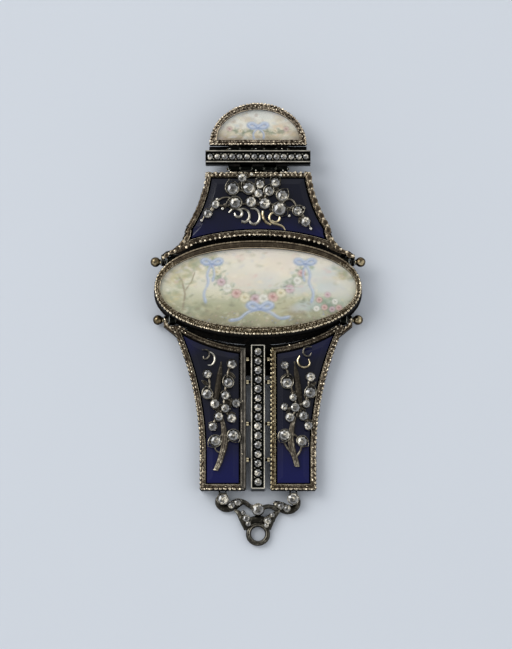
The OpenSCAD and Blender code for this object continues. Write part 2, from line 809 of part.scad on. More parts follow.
module upper_ball_pin_right() {
    ball_pin(upper_axis, upper_axis_y, upper_axis_z);
}

module lower_ball_pin_left() {
    mirror([1, 0, 0])
        ball_pin(lower_axis, lower_axis_y, lower_axis_z);
}

module lower_ball_pin_right() {
    ball_pin(lower_axis, lower_axis_y, lower_axis_z);
}

// Lower frame of the right side: an arch that follows the oval, and an outer side that flares out
top_sag = corner_y - lower_y;
top_x = corner_x - tip_w;
top_r = (top_x * top_x + top_sag * top_sag) / (2 * top_sag);
top_c = [0, lower_y + top_r];
flare_y = lower_foot_y + straight_l;
flare_dx = corner_x - outer_x;
flare_r = (flare_dx * flare_dx + pow(corner_y - flare_y, 2)) / (2 * flare_dx);
flare_c = [outer_x + flare_r, flare_y];
lower_hub = [inner_x + (outer_x - inner_x) * 0.55, lower_foot_y + lower_l * 0.55];
function lower_top(d, from) = arc(top_c, from, [inner_x + d, top_c.y - sqrt(pow(top_r + d, 2) - pow(inner_x + d, 2))], 10);
function lower_outer(d, to) =
    concat([[outer_x - d, lower_foot_y + d]], arc(flare_c, [outer_x - d, flare_y], to, 10));
function lower_sides(d, side_end, top_start) =
    let (top = lower_top(d, top_start), foot = [inner_x + d, lower_foot_y + d])
    concat(
        [[foot, [outer_x - d, lower_foot_y + d]], lower_outer(d, side_end)],
        side_end == top_start ? [] : [[side_end, top_start]],
        [top, [top[10], foot]]
    );
function lower_inside(d) =
    let (corner = meet(top_c, top_r + d, flare_c, flare_r + d, -1))
    joined(lower_sides(d, corner, corner));
lower_outside = lower_sides(0, [corner_x, corner_y], [top_x, corner_y]);

module lower_frame() {
    ear_from = ear_in(lower_axis);
    ear_to = ear_out(lower_axis);
    bracket = [
        [corner_x - 2.2, notch_y - 3],
        [ear_to, notch_y - 0.3],
        [ear_to, lower_axis_y],
        [ear_from, lower_axis_y],
        [ear_from, notch_y - 0.2],
        [corner_x - 2.2, notch_y - 0.3]
    ];
    color(silver)
        difference() {
            union() {
                difference() {
                    frame(
                        lower_outside, lower_inside(border - lip), lower_inside(border),
                        0, lower_t, floor_t, floor_t + flange_t + 2 * fit, panel_pitch
                    );
                    translate([corner_x - 4, notch_y, -1])
                        cube([ear_from - corner_x + 4, 10, lower_t + 2]);
                }
                prism(bracket, lower_axis_z - ear_r * 0.8, lower_axis_z + ear_r * 0.8);
                axle(ear_r, ear_from, ear_to, lower_axis_y, lower_axis_z);
                drop_fork();
            }
            axle(shaft_d / 2 + pin_fit, ear_from - 1, ear_to + 1, lower_axis_y, lower_axis_z);
            for (k = rod_shares)
                axle(rod_d / 2 + fit, 0, rod_reach + fit, rod_y(k), lower_axis_z);
            axle(drop_pin_d / 2 + pin_fit, head_x - 2, head_x + 2, drop_axis_y, drop_axis_z);
        }
}

// Fork of the right frame that holds the drop's barrel
barrel_w = 1;
fork_t = 0.42;
module drop_fork() {
    for (s = [-1, 1])
        translate([head_x + s * (barrel_w / 2 + 0.06 + fork_t / 2) - fork_t / 2, 0, 0]) {
            axle(barrel_r, 0, fork_t, drop_axis_y, drop_axis_z);
            translate([0, drop_axis_y, drop_axis_z - barrel_r * 0.8])
                cube([fork_t, hinge_back + 0.2, barrel_r * 1.6]);
        }
}

module left_frame() {
    mirror([1, 0, 0])
        lower_frame();
}

module right_frame() {
    lower_frame();
}

module lower_enamel() {
    enamel(
        lower_inside(border - lip + fit), lower_inside(border + fit), lower_inside(border + fit + bevel),
        floor_t, lower_t, lower_hub
    );
}

module left_enamel() {
    mirror([1, 0, 0])
        lower_enamel();
}

module right_enamel() {
    lower_enamel();
}

// Narrow bar with its row of stones, and the rods that carry it
function rod_y(share) = mid_bar_top_y - mid_bar_l * share;
function mid_place(i) = mid_bar_top_y - stone_margin - (mid_bar_l - 2 * stone_margin) * i / (mid_stones_n - 1);

module lower_bar() {
    channel = 0.3;
    color(silver)
        difference() {
            translate([-mid_bar_w / 2, mid_bar_foot_y, 0])
                cube([mid_bar_w, mid_bar_l, mid_bar_t]);
            translate([-mid_bar_w / 2 + channel, mid_bar_foot_y + channel, mid_bar_t - 0.4])
                cube([mid_bar_w - 2 * channel, mid_bar_l - 2 * channel, 1]);
            for (i = [0:mid_stones_n - 1])
                translate([0, mid_place(i), mid_bar_t - 1])
                    cylinder(r = mid_stone_d / 2 + fit, h = 2, $fn = 16);
            for (k = rod_shares)
                axle(rod_d / 2 + fit, -mid_bar_w, mid_bar_w, rod_y(k), lower_axis_z);
        }
}

module lower_bar_stones() {
    color(bright)
        for (i = [0:mid_stones_n - 1])
            translate([0, mid_place(i), mid_bar_t - 1 + fit])
                gem(mid_stone_d / 2);
}

module cross_pin(i) {
    color(brass)
        axle(rod_d / 2, -rod_reach, rod_reach, rod_y(rod_shares[i]), lower_axis_z);
}

// Sprigs on the lower enamel plates
sprig_at = [inner_x, lower_foot_y];
function sprig_collets(sprig) =
    [for (s = sprig) let (p = placed(s, sprig_at, sprig_span)) [p.x, p.y, s.z * collet_r]];

module sprig(table, stems, leaf_line) {
    spray(
        sprig_collets(table),
        stems,
        placed_all(concat([sprig_stem, sprig_curl], sprig_shoots), sprig_at, sprig_span),
        placed_all([leaf_line], sprig_at, sprig_span),
        lower_t + fit
    );
}

module sprig_gems(table) {
    color(bright)
        for (c = sprig_collets(table))
            seated_gem(c, c.z, lower_t + fit + collet_h);
}

module left_spray() {
    mirror([1, 0, 0])
        sprig(left_sprig, left_stems, left_leaf);
}

module right_spray() {
    sprig(right_sprig, right_stems, right_leaf);
}

module left_spray_stones() {
    mirror([1, 0, 0])
        sprig_gems(left_sprig);
}

module right_spray_stones() {
    sprig_gems(right_sprig);
}

// Drop: two scroll arms hang from the heads and meet under the middle collet, and two legs run down
// to the round eye. The head collets stand above the forks.
drop_at = [0, drop_axis_y];
drop_span = [head_x, -drop_l];
head_place = [head_x, drop_axis_y - 1.35];
heart_place = [0, drop_axis_y - drop_l * 0.42];
heart_r = head_r;
gem_wall = 0.2;
head_floor_z = drop_axis_z + barrel_r + 0.2;
head_top_z = head_floor_z + 1.15;
heart_top_z = drop_t + 1;
gem_top_z = drop_t + 0.35;
seat_depth = 0.8;
eye_profile = [
    [eye_r, 0.3], [eye_r, drop_t - 0.2], [eye_r + 0.3, drop_t + 0.1], [eye_out - 0.4, drop_t + 0.1],
    [eye_out, drop_t - 0.3], [eye_out, 0.4], [eye_out - 0.4, 0], [eye_r + 0.3, 0]
];
function drop_line(table) = strip([for (p = table) placed(p, drop_at, drop_span)], [for (p = table) p.z]);

module drop() {
    color(silver)
        difference() {
            union() {
                for (s = [0, 1])
                    mirror([s, 0, 0])
                        drop_half();
                translate([heart_place.x, heart_place.y, 0])
                    cylinder(r = heart_r, h = heart_top_z);
                translate([-drop_leg[2].x * head_x, eye_y + eye_r + 0.6, 0])
                    cube([2 * drop_leg[2].x * head_x, heart_place.y - heart_r - eye_y - eye_r - 0.2, drop_t - 0.2]);
                translate([0, eye_y, 0])
                    rotate_extrude()
                        polygon(eye_profile);
            }
            for (s = [0, 1])
                mirror([s, 0, 0])
                    drop_half_cuts();
            translate([heart_place.x, heart_place.y, heart_top_z - seat_depth])
                cylinder(r = heart_r - collet_wall, h = 2);
            translate([0, eye_y, -1])
                cylinder(r = eye_r, h = drop_t + 3);
        }
}

module drop_half() {
    prism(drop_line(drop_arm), 0, drop_t);
    prism(drop_line(drop_leg), 0, drop_t - 0.1);
    axle(barrel_r, head_x - barrel_w / 2, head_x + barrel_w / 2, drop_axis_y, drop_axis_z);
    translate([head_x - barrel_w / 2, drop_axis_y - 1.6, drop_axis_z - barrel_r * 0.8])
        cube([barrel_w, 1.6, barrel_r * 1.6]);
    translate([head_place.x, head_place.y - 0.25, 0.1])
        cylinder(r = 0.8, h = head_floor_z + 0.2);
    translate([head_place.x, head_place.y, head_floor_z])
        cylinder(r = head_r, h = head_top_z - head_floor_z);
    translate([head_place.x - 0.2, head_place.y - 2.2, 0.15])
        cube([1.2, 2, drop_t - 0.3]);
    for (g = drop_gems)
        translate([placed(g, drop_at, drop_span).x, placed(g, drop_at, drop_span).y, 0.1])
            cylinder(r = g.z + gem_wall, h = gem_top_z - 0.1);
}

module drop_half_cuts() {
    axle(drop_pin_d / 2 + pin_fit, head_x - 2, head_x + 2, drop_axis_y, drop_axis_z);
    translate([head_place.x, head_place.y, head_top_z - seat_depth])
        cylinder(r = head_r - collet_wall, h = 2);
    for (g = drop_gems)
        translate([placed(g, drop_at, drop_span).x, placed(g, drop_at, drop_span).y, gem_top_z - 0.6])
            cylinder(r = g.z + fit, h = 2);
}

module drop_stones() {
    color(bright) {
        for (s = [0, 1])
            mirror([s, 0, 0]) {
                translate([head_place.x, head_place.y, head_top_z - seat_depth + fit])
                    gem(head_r - collet_wall - fit);
                for (g = drop_gems)
                    translate([placed(g, drop_at, drop_span).x, placed(g, drop_at, drop_span).y, gem_top_z - 0.6 + fit])
                        gem(g.z);
            }
        translate([heart_place.x, heart_place.y, heart_top_z - seat_depth + fit])
            gem(heart_r - collet_wall - fit);
    }
}

module drop_pin() {
    half = barrel_w / 2 + 0.06 + fork_t;
    color(brass)
        axle(drop_pin_d / 2, head_x - half, head_x + half, drop_axis_y, drop_axis_z);
}

module drop_pin_left() {
    mirror([1, 0, 0])
        drop_pin();
}

module drop_pin_right() {
    drop_pin();
}

crest_frame();
crest_miniature();
crest_glass();
belt_hook();
upper_bar();
upper_bar_stones();
crest_hinge_pin();
upper_frame();
upper_enamel();
upper_spray();
bar_hinge_pin();
for (i = [0:15])
    upper_spray_stone(i);
oval_frame();
oval_miniature();
oval_glass();
upper_ball_pin_left();
upper_ball_pin_right();
lower_ball_pin_left();
lower_ball_pin_right();
left_frame();
right_frame();
lower_bar();
lower_bar_stones();
left_enamel();
right_enamel();
for (i = [0:3])
    cross_pin(i);
left_spray();
right_spray();
left_spray_stones();
right_spray_stones();
drop();
drop_stones();
drop_pin_left();
drop_pin_right();
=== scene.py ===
"""Looks of the chatelaine: its metal, enamel, painted plaques and stones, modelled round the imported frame.

Sizes in the tables are millimetres in the frame's own axes. The shapes are made in metres.
"""

import math
import random

import bmesh
import bpy
import numpy as np
from bpy.props import FloatProperty, FloatVectorProperty, PointerProperty
from bpy.types import Operator, Panel, PropertyGroup
from mathutils import Matrix, Vector


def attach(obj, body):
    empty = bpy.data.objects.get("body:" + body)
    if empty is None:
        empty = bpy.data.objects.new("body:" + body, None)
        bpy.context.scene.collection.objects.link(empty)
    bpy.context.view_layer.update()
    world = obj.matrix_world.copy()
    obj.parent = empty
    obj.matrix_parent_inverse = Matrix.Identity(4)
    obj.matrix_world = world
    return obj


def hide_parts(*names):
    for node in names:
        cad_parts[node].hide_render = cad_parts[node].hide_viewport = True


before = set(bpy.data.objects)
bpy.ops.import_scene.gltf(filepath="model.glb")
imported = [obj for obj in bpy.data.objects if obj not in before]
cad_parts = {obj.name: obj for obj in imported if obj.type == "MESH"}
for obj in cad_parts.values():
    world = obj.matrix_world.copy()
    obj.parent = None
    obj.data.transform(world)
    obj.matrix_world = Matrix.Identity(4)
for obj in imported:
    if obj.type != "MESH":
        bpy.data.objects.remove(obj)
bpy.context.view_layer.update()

bl_info = {
    "name": "Chatelaine",
    "version": (1, 0, 0),
    "blender": (4, 5, 0),
    "location": "View3D > Sidebar > Chatelaine",
    "description": "Models and finishes the plates, sprays, stones and drop of a chatelaine",
    "category": "Object",
}

MM = 0.001
DRAW = random.Random(11)

# Heights of the plates
OVAL_T = 6.6
LIFT = 3.4
FRONT = 6.4
LOWER_T = 3.4
BAR_FRONT = 6.8
MID_BAR_T = 3.6

# Oval: middle, half width and half height, and the same of its window
OVAL_Y = 8.595
OVAL = (25.95, 12.15)
OVAL_WINDOW = (24.45, 10.05)
FULL = 0.95

# Crest: its straight edge, half width and height, and the same of its window
CREST_Y = 45.045
CREST = (12.3, 11.1)
CREST_WINDOW_Y = 46.445
CREST_WINDOW = (10.4, 7.8)

# Upper panel: heights of its top edge and its foot, half width of its foot, and the circles of its lower edge
# and of its right side
PANEL_TOP = 38.345
FOOT_Y = 16.895
FOOT_OUT = 24.252
ARCH = ((0, -35.009), 56.854)
SIDE = ((45.837, 41.665), 32.855)

# Lower plates: foot, inner and outer side, start of the flare, and circles of the top edge and the flare
LOWER_FOOT = -42.305
LOWER_L = 36.2
INNER_X = 2.95
OUTER_X = 14.6
FLARE_Y = -33.005
CORNER_CUT = -0.205
TOP_ARCH = ((0, 29.522), 35.627)
FLARE = ((91.786, -33.005), 77.186)

# Hinges: height along the chain, height above the surface, and where ear, lug and ball stand
UPPER_AXIS = (15.395, 4.9)
LOWER_AXIS = (1.295, 1.7)
UPPER_EAR = (23.102, 24.202)
LOWER_EAR = (22.489, 23.589)
UPPER_BALL = 25.602
LOWER_BALL = 24.989
BAR_AXIS = (39.32, 4.9)
CREST_AXIS = (44.32, 4.9)
DROP_AXIS = (-43.045, 1.0)
HEAD_X = 8.775
DROP_L = 9.9
EYE_Y = -52.945
EYE_R = 1.75

# Bars: lower and upper corner of each, and where the rods cross the narrow one
BAR = ((-13.15, 40.295), (13.15, 43.595))
BAR_TIER_Y = 40.62
MID_BAR = ((-1.7, -42.005), (1.7, -5.405))
ROD_Y = (-8.699, -14.555, -25.169, -34.319)
ROD_Z = 1.7

# Frames: their width, and the insets of the lines of cut facets along their rims
FRAME_W = 1.5
RIM_LINES = (0.34, 0.95)
FINE_LINES = (0.3, 0.95)
OVAL_ROUND = 123.7

# Collets of the bouquet: x as a share of the panel's half width at its foot, y as a share of its height
# above its feet, and the size of the collet
BOUQUET = [
    (-0.16, 0.912, 0.92), (-0.265, 0.785, 1.25), (-0.095, 0.79, 1.2), (0.02, 0.838, 0.92), (0.18, 0.855, 1.0),
    (0.005, 0.728, 0.94), (0.11, 0.756, 0.96), (0.25, 0.70, 1.12), (-0.44, 0.598, 0.88), (-0.235, 0.618, 1.22),
    (-0.075, 0.628, 1.1), (0.07, 0.608, 1.14), (0.22, 0.542, 1.34), (-0.52, 0.487, 0.92), (0.41, 0.52, 1.0),
    (0.49, 0.388, 1.02),
]
BOUQUET_STEMS = [
    (11, 5), (5, 3), (5, 2), (2, 0), (2, 1), (11, 6), (6, 4), (6, 7), (11, 12), (12, 14), (14, 15), (11, 10),
    (10, 9), (9, 8), (8, 13), (10, 5),
]

# Collets of the sprigs: x as a share of the plate's width at its foot, y as a share of its length, size
LEFT_SPRIG = [
    (0.31, 0.88, 0.98), (0.38, 0.75, 1.02), (0.83, 0.81, 0.90), (0.83, 0.67, 0.98), (0.44, 0.66, 0.92),
    (0.67, 0.60, 0.96), (0.44, 0.57, 0.96), (0.21, 0.605, 0.88), (0.59, 0.51, 0.96), (0.31, 0.50, 0.96),
    (0.71, 0.44, 0.88), (0.27, 0.38, 1.15), (0.66, 0.34, 1.15),
]
RIGHT_SPRIG = [
    (0.32, 0.87, 0.80), (0.37, 0.75, 1.15), (0.87, 0.79, 0.96), (0.87, 0.68, 1.06), (0.50, 0.645, 0.78),
    (0.31, 0.58, 0.76), (0.55, 0.575, 0.96), (0.78, 0.60, 0.82), (0.43, 0.505, 0.96), (0.72, 0.515, 0.96),
    (0.83, 0.445, 0.88), (0.32, 0.38, 1.15), (0.69, 0.34, 1.04),
]
LEFT_TRUNK = [(0.655, 0.135), (0.60, 0.17), (0.53, 0.235), (0.465, 0.32), (0.48, 0.43), (0.53, 0.51)]
RIGHT_TRUNK = [(0.585, 0.16), (0.555, 0.20), (0.50, 0.26), (0.455, 0.33), (0.47, 0.43), (0.53, 0.51)]
LEFT_TWIGS = [
    [(0.46, 0.32), (0.28, 0.37)], [(0.47, 0.40), (0.66, 0.34)],
    [(0.66, 0.34), (0.64, 0.275), (0.55, 0.262), (0.5, 0.27)],
]
RIGHT_TWIGS = [
    [(0.53, 0.235), (0.40, 0.28), (0.30, 0.335)], [(0.54, 0.225), (0.64, 0.265), (0.69, 0.32)],
    [(0.47, 0.40), (0.66, 0.35)],
]
LEFT_STEMS = [(0, 1), (1, 4), (4, 6), (4, 7), (6, 5), (5, 3), (3, 2), (6, 8), (6, 9), (8, 10)]
RIGHT_STEMS = [(0, 1), (1, 4), (4, 6), (6, 5), (6, 7), (7, 3), (3, 2), (6, 8), (6, 9), (9, 10)]
COLLET_R = 1.3
COLLET_H = 0.95
SEAT = 0.05
STONE_SUNK = 0.17
STONE_SHARE = 0.91

# Curls and loose stems of the bouquet
SILVER_CURLS = [
    [(-7.3, 27.6), (-6.1, 28.6), (-4.8, 28.4), (-4.0, 27.5), (-4.5, 26.6), (-5.5, 26.7), (-5.8, 27.5)],
    [(-4.6, 28.6), (-3.1, 28.4), (-2.2, 27.3), (-2.3, 26.0), (-3.2, 25.2), (-4.1, 25.4)],
    [(-1.9, 28.7), (-0.4, 28.4), (0.35, 27.2), (0.35, 25.8), (-0.5, 24.8), (-1.6, 24.8), (-2.1, 25.5)],
]
GOLD_CURLS = [
    [(1.2, 28.0), (1.25, 26.7), (1.9, 25.3), (3.2, 24.5)],
    [(3.4, 25.5), (4.4, 25.2), (5.3, 25.8), (5.35, 26.8), (4.7, 27.5), (3.6, 27.5), (2.9, 26.7), (3.0, 25.7),
     (3.9, 24.8), (5.2, 24.5), (6.2, 24.0), (6.8, 23.1)],
]
LOOSE_STEMS = [
    [(6.2, 30.1), (7.1, 30.9), (8.3, 30.9), (9.2, 30.0), (9.6, 29.0)],
    [(-10.3, 30.5), (-9.2, 31.2), (-7.6, 31.5), (-6.4, 31.0)],
]
BEADS = [
    (-8.9, 28.6), (-14.1, 25.6), (7.8, 26.8), (13.2, 23.5), (-10.2, 31.0), (11.4, 28.9), (-1.6, 37.4), (5.7, 37.2),
]

# Curls of the sprigs, both drawn on the right plate
LEFT_CURLS = [
    [(13.9, -6.8), (12.6, -6.9), (12.1, -7.9), (12.5, -8.8), (13.4, -9.1), (13.6, -8.4)],
    [(12.1, -7.3), (11.2, -7.9), (10.8, -9.0), (11.1, -10.1), (11.8, -10.7), (12.5, -10.7)],
]
RIGHT_CURLS = [
    [(13.4, -6.0), (12.0, -6.1), (11.3, -7.1), (11.7, -8.2), (12.8, -8.3), (13.3, -7.6)],
    [(10.4, -8.3), (9.9, -9.6), (10.5, -10.9), (11.9, -11.2), (12.9, -10.3), (12.6, -9.1)],
]
SPRIGS = {
    "left": (LEFT_SPRIG, LEFT_STEMS, LEFT_TRUNK, LEFT_TWIGS, 0.6, LEFT_CURLS, "polished_silver"),
    "right": (RIGHT_SPRIG, RIGHT_STEMS, RIGHT_TRUNK, RIGHT_TWIGS, 0.9, RIGHT_CURLS, "worn_gilt"),
}

# Line of lobes over a foot of the upper panel, and over an ear of the lower plates
FOOT_LINE = [(18.5, 20.3), (19.8, 18.7), (21.1, 17.7), (22.5, 17.3), (23.5, 16.4)]
EAR_LINE = [(19.7, -1.9), (20.9, -1.5), (22.1, -0.7), (23.0, 0.3), (23.1, 1.2)]

# Drop: x as a share of the head's distance, y as a share of the drop's length below its hinge, width in mm
LEFT_ARM = [
    (1.12, 0.08, 1.0), (1.14, 0.19, 1.1), (1.06, 0.30, 1.3), (0.88, 0.345, 1.6), (0.70, 0.27, 2.1),
    (0.55, 0.20, 1.8), (0.40, 0.19, 1.0), (0.25, 0.28, 0.9), (0.08, 0.36, 1.1),
]
RIGHT_ARM = [
    (1.10, 0.08, 1.0), (1.13, 0.20, 1.1), (1.04, 0.34, 1.4), (0.85, 0.375, 2.0), (0.66, 0.31, 2.1), (0.52, 0.23, 1.5),
    (0.46, 0.18, 0.7),
]
RIGHT_LINK = [(0.62, 0.40, 0.7), (0.52, 0.37, 1.0), (0.39, 0.31, 0.9), (0.25, 0.30, 0.9), (0.08, 0.36, 1.1)]
LEFT_LEG = [(0.66, 0.38, 0.5), (0.55, 0.46, 1.0), (0.44, 0.58, 1.7), (0.35, 0.72, 1.9), (0.29, 0.88, 1.5)]
RIGHT_LEG = [(0.62, 0.40, 0.5), (0.50, 0.49, 1.1), (0.37, 0.60, 1.9), (0.29, 0.73, 2.0), (0.26, 0.88, 1.5)]
LEFT_GEMS = [(0.755, 0.275, 0.72), (0.57, 0.205, 0.78), (0.42, 0.475, 0.42), (0.335, 0.615, 0.72), (0.275, 0.76, 0.5)]
RIGHT_GEMS = [(0.645, 0.30, 0.74), (0.825, 0.365, 0.74), (0.41, 0.535, 0.42), (0.27, 0.68, 0.82), (0.235, 0.80, 0.45)]


def linear(code):
    """Linear colour of an sRGB hex code."""
    parts = [int(code[i:i + 2], 16) / 255 for i in (1, 3, 5)]
    return [p / 12.92 if p <= 0.04045 else ((p + 0.055) / 1.055) ** 2.4 for p in parts]


class ChatelaineSizes(PropertyGroup):
    """Sizes of the surface work."""

    panel_pitch: FloatProperty(
        name="Panel lobes", description="Length of one lobe of the panels' rims", default=1.3 * MM,
        min=0.8 * MM, max=3 * MM, unit="LENGTH")
    fine_pitch: FloatProperty(
        name="Fine lobes", description="Length of one lobe of the oval's and the crest's rims", default=0.95 * MM,
        min=0.6 * MM, max=2 * MM, unit="LENGTH")
    groove: FloatProperty(
        name="Groove depth", description="Depth of the grooves between the lobes", default=0.3 * MM,
        min=0.05 * MM, max=0.4 * MM, unit="LENGTH")
    bevel: FloatProperty(
        name="Enamel bevel", description="Width of the sloping edge of the enamel plates", default=1.8 * MM,
        min=0.6 * MM, max=2.4 * MM, unit="LENGTH")
    wire: FloatProperty(
        name="Stem wire", description="Thickness of the stems of the sprays", default=0.62 * MM,
        min=0.3 * MM, max=0.9 * MM, unit="LENGTH")


def colour_property(name, description, code):
    """Property of one colour."""
    return FloatVectorProperty(name=name, description=description, subtype="COLOR", size=3, default=linear(code))


class ChatelaineColours(PropertyGroup):
    """Colours of the finishes."""

    tarnish: colour_property("Tarnish", "Darkened silver in the hollows", "#15110E")
    silver: colour_property("Silver", "Darkened silver on open faces", "#5E5243")
    highlight: colour_property("Worn silver", "Silver-gilt on worn edges", "#D8CAAE")
    spray: colour_property("Spray silver", "Silver of the collets", "#3C3933")
    gilt: colour_property("Gilt", "Gilt of the pins and the two gold curls", "#5E5039")
    enamel: colour_property("Enamel", "Cobalt enamel", "#0F1350")
    stone: colour_property("Stones", "Rose-cut stones", "#D3CAB4")
    floor: colour_property("Floor", "Paper under the piece", "#D0D5DB")


# Meshes -----------------------------------------------------------------------------------------------------


def deselect():
    """Nothing is selected or active."""
    bpy.ops.object.select_all(action="DESELECT")
    bpy.context.view_layer.objects.active = None


def activate(*pieces):
    """Selects only these pieces; the first one is active."""
    deselect()
    for piece in pieces:
        piece.select_set(True)
    bpy.context.view_layer.objects.active = pieces[0]


def close_up(gap):
    """Merges doubles nearer than gap in mm, turns the faces outwards and leaves edit mode."""
    bpy.ops.mesh.select_all(action="SELECT")
    bpy.ops.mesh.remove_doubles(threshold=gap * MM)
    bpy.ops.mesh.normals_make_consistent(inside=False)
    bpy.ops.object.mode_set(mode="OBJECT")


def start_mesh(name, count, fill="NOTHING"):
    """Circle of points in edit mode, to be placed one by one."""
    deselect()
    bpy.ops.mesh.primitive_circle_add(vertices=count, radius=MM, fill_type=fill)
    piece = bpy.context.object
    piece.name = name
    bpy.ops.object.mode_set(mode="EDIT")
    mesh = bmesh.from_edit_mesh(piece.data)
    mesh.verts.ensure_lookup_table()
    return piece, mesh


def sweep(name, loops):
    """Closed body through level or tilted loops of equal count, each extruded from the one before."""
    count = len(loops[0])
    piece, mesh = start_mesh(name, count, "NGON")
    order = list(range(count))
    for index, place in zip(order, loops[0]):
        mesh.verts[index].co = Vector(place) * MM
    for loop in loops[1:]:
        old = len(mesh.verts)
        bpy.ops.mesh.extrude_region_move()
        mesh = bmesh.from_edit_mesh(piece.data)
        mesh.verts.ensure_lookup_table()
        mesh.verts.index_update()
        order = [
            next(e.other_vert(mesh.verts[i]).index for e in mesh.verts[i].link_edges
                 if e.other_vert(mesh.verts[i]).index >= old)
            for i in order
        ]
        for index, place in zip(order, loop):
            mesh.verts[index].co = Vector(place) * MM
    close_up(0.002)
    return piece


def level(points, z):
    """Loop of plan points at one height."""
    return [(x, y, z) for x, y in points]


def soften(piece, width, segments=2):
    """Rounds the sharp edges of a piece."""
    activate(piece)
    bevel = piece.modifiers.new("Bevel", "BEVEL")
    bevel.width = width * MM
    bevel.segments = segments
    bevel.limit_method = "ANGLE"
    bevel.angle_limit = math.radians(40)
    bpy.ops.object.modifier_apply(modifier=bevel.name)
    return piece


def block(name, low, high, edge=0.08):
    """Bar between two corners, with softened edges."""
    deselect()
    middle = [(a + b) / 2 * MM for a, b in zip(low, high)]
    bpy.ops.mesh.primitive_cube_add(size=1, location=middle)
    piece = bpy.context.object
    piece.name = name
    piece.scale = [(b - a) * MM for a, b in zip(low, high)]
    bpy.ops.object.transform_apply(location=True, rotation=True, scale=True)
    return soften(piece, edge)


def spun(name, points, middle, axis, steps, closed=False):
    """Line of (x, y, z) points, open or closed, turned once about an axis through a middle."""
    piece, mesh = start_mesh(name, len(points))
    for vert, point in zip(mesh.verts, points):
        vert.co = Vector(point) * MM
    if not closed:
        mesh.edges.remove(mesh.edges.get((mesh.verts[0], mesh.verts[len(points) - 1])))
    bmesh.update_edit_mesh(piece.data)
    bpy.ops.mesh.select_all(action="SELECT")
    bpy.ops.mesh.spin(steps=steps, angle=math.tau, center=[v * MM for v in middle], axis=axis)
    close_up(0.004)
    return piece


def lathe(name, profile, y, z, steps=28):
    """Turned piece about an axis along X: profile holds (x, radius) from end to end."""
    return spun(name, [(x, y, z + max(r, 0.001)) for x, r in profile], (0, y, z), (1, 0, 0), steps)


def barrel(name, radius, start, end, axis, edge=0.08):
    """Hinge barrel along X with softened ends."""
    low, high = sorted((start, end))
    half = [
        (low, 0), (low, radius - edge * 1.6), (low, radius - edge), (low + edge, radius), (low + edge * 1.8, radius),
    ]
    profile = half + [(low + high - x, r) for x, r in reversed(half)]
    return lathe(name, profile, *axis)


def wire(name, points, thickness, flat=1.0, closed=False):
    """Drawn wire or strap through (x, y, z, width share), flattened by flat, as a mesh."""
    deselect()
    bpy.ops.curve.primitive_bezier_curve_add(radius=MM)
    piece = bpy.context.object
    piece.name = name
    curve = piece.data
    spline = curve.splines[0]
    spline.bezier_points.add(len(points) - 2)
    for knot, (x, y, z, share) in zip(spline.bezier_points, points):
        knot.co = (x * MM, y * MM, z * MM)
        knot.radius = share
        knot.handle_left_type = knot.handle_right_type = "AUTO"
    spline.use_cyclic_u = closed
    curve.resolution_u = 5
    curve.bevel_depth = thickness / 2 * MM
    curve.bevel_resolution = 2
    curve.use_fill_caps = not closed
    bpy.context.view_layer.update()
    bpy.ops.object.convert(target="MESH")
    piece = bpy.context.object
    bpy.ops.object.transform_apply(location=True, rotation=True, scale=True)
    if flat != 1:
        middle = sum(p[2] for p in points) / len(points) * MM
        bpy.ops.object.mode_set(mode="EDIT")
        bpy.ops.mesh.select_all(action="SELECT")
        bpy.ops.transform.resize(value=(1, 1, flat), center_override=(0, 0, middle))
        bpy.ops.object.mode_set(mode="OBJECT")
    return piece


def put(x, y, z, size=1.0, height=None, turn=0.0, tilt=0.0):
    """Place, size and turn of a copy."""
    scale = Matrix.Diagonal((size, size, height if height is not None else size, 1))
    turned = Matrix.Translation(Vector((x, y, z)) * MM) @ Matrix.Rotation(turn, 4, "Z")
    return turned @ Matrix.Rotation(tilt, 4, "X") @ scale


def copies(pattern, places):
    """Copies of one modelled shape, each with its own mesh. The shape itself is taken away."""
    made = []
    for place in places:
        piece = pattern.copy()
        piece.data = pattern.data.copy()
        piece.data.transform(place)
        bpy.context.scene.collection.objects.link(piece)
        made.append(piece)
    bpy.data.objects.remove(pattern)
    return made


def fuse(name, pieces):
    """One body from several."""
    activate(*pieces)
    bpy.ops.object.join()
    piece = bpy.context.object
    piece.name = name
    piece.data.name = name
    return piece


def coat(piece, *finishes):
    """Gives a piece its finishes, the first of them all over."""
    piece.data.materials.clear()
    for name in finishes:
        piece.data.materials.append(material(name))
    return piece


def mark_wear_and_shade(piece):
    """Point attribute: high on rubbed ridges and edges, low in dark hollows, and lower on upright faces as painted
    shade.
    """
    mesh = bmesh.new()
    mesh.from_mesh(piece.data)
    mesh.normal_update()
    values = np.empty(len(mesh.verts), np.float32)
    for index, vert in enumerate(mesh.verts):
        rise, reach = 0.0, 1e-9
        for edge in vert.link_edges:
            away = edge.other_vert(vert).co - vert.co
            if away.length > 1e-9:
                rise -= vert.normal.dot(away) / away.length
                reach += away.length / MM
        bend = 0.24 * rise / reach
        # The last term lowers upright faces: painted shade on the walls, beside the rubbed edges and dark hollows
        values[index] = 0.5 + min(0.36, max(-0.3, bend)) - 0.2 * (1 - abs(vert.normal.z))
    mesh.free()
    wear_and_shade = piece.data.attributes.new("Wear", "FLOAT", "POINT")
    wear_and_shade.data.foreach_set("value", np.clip(values, 0, 1))


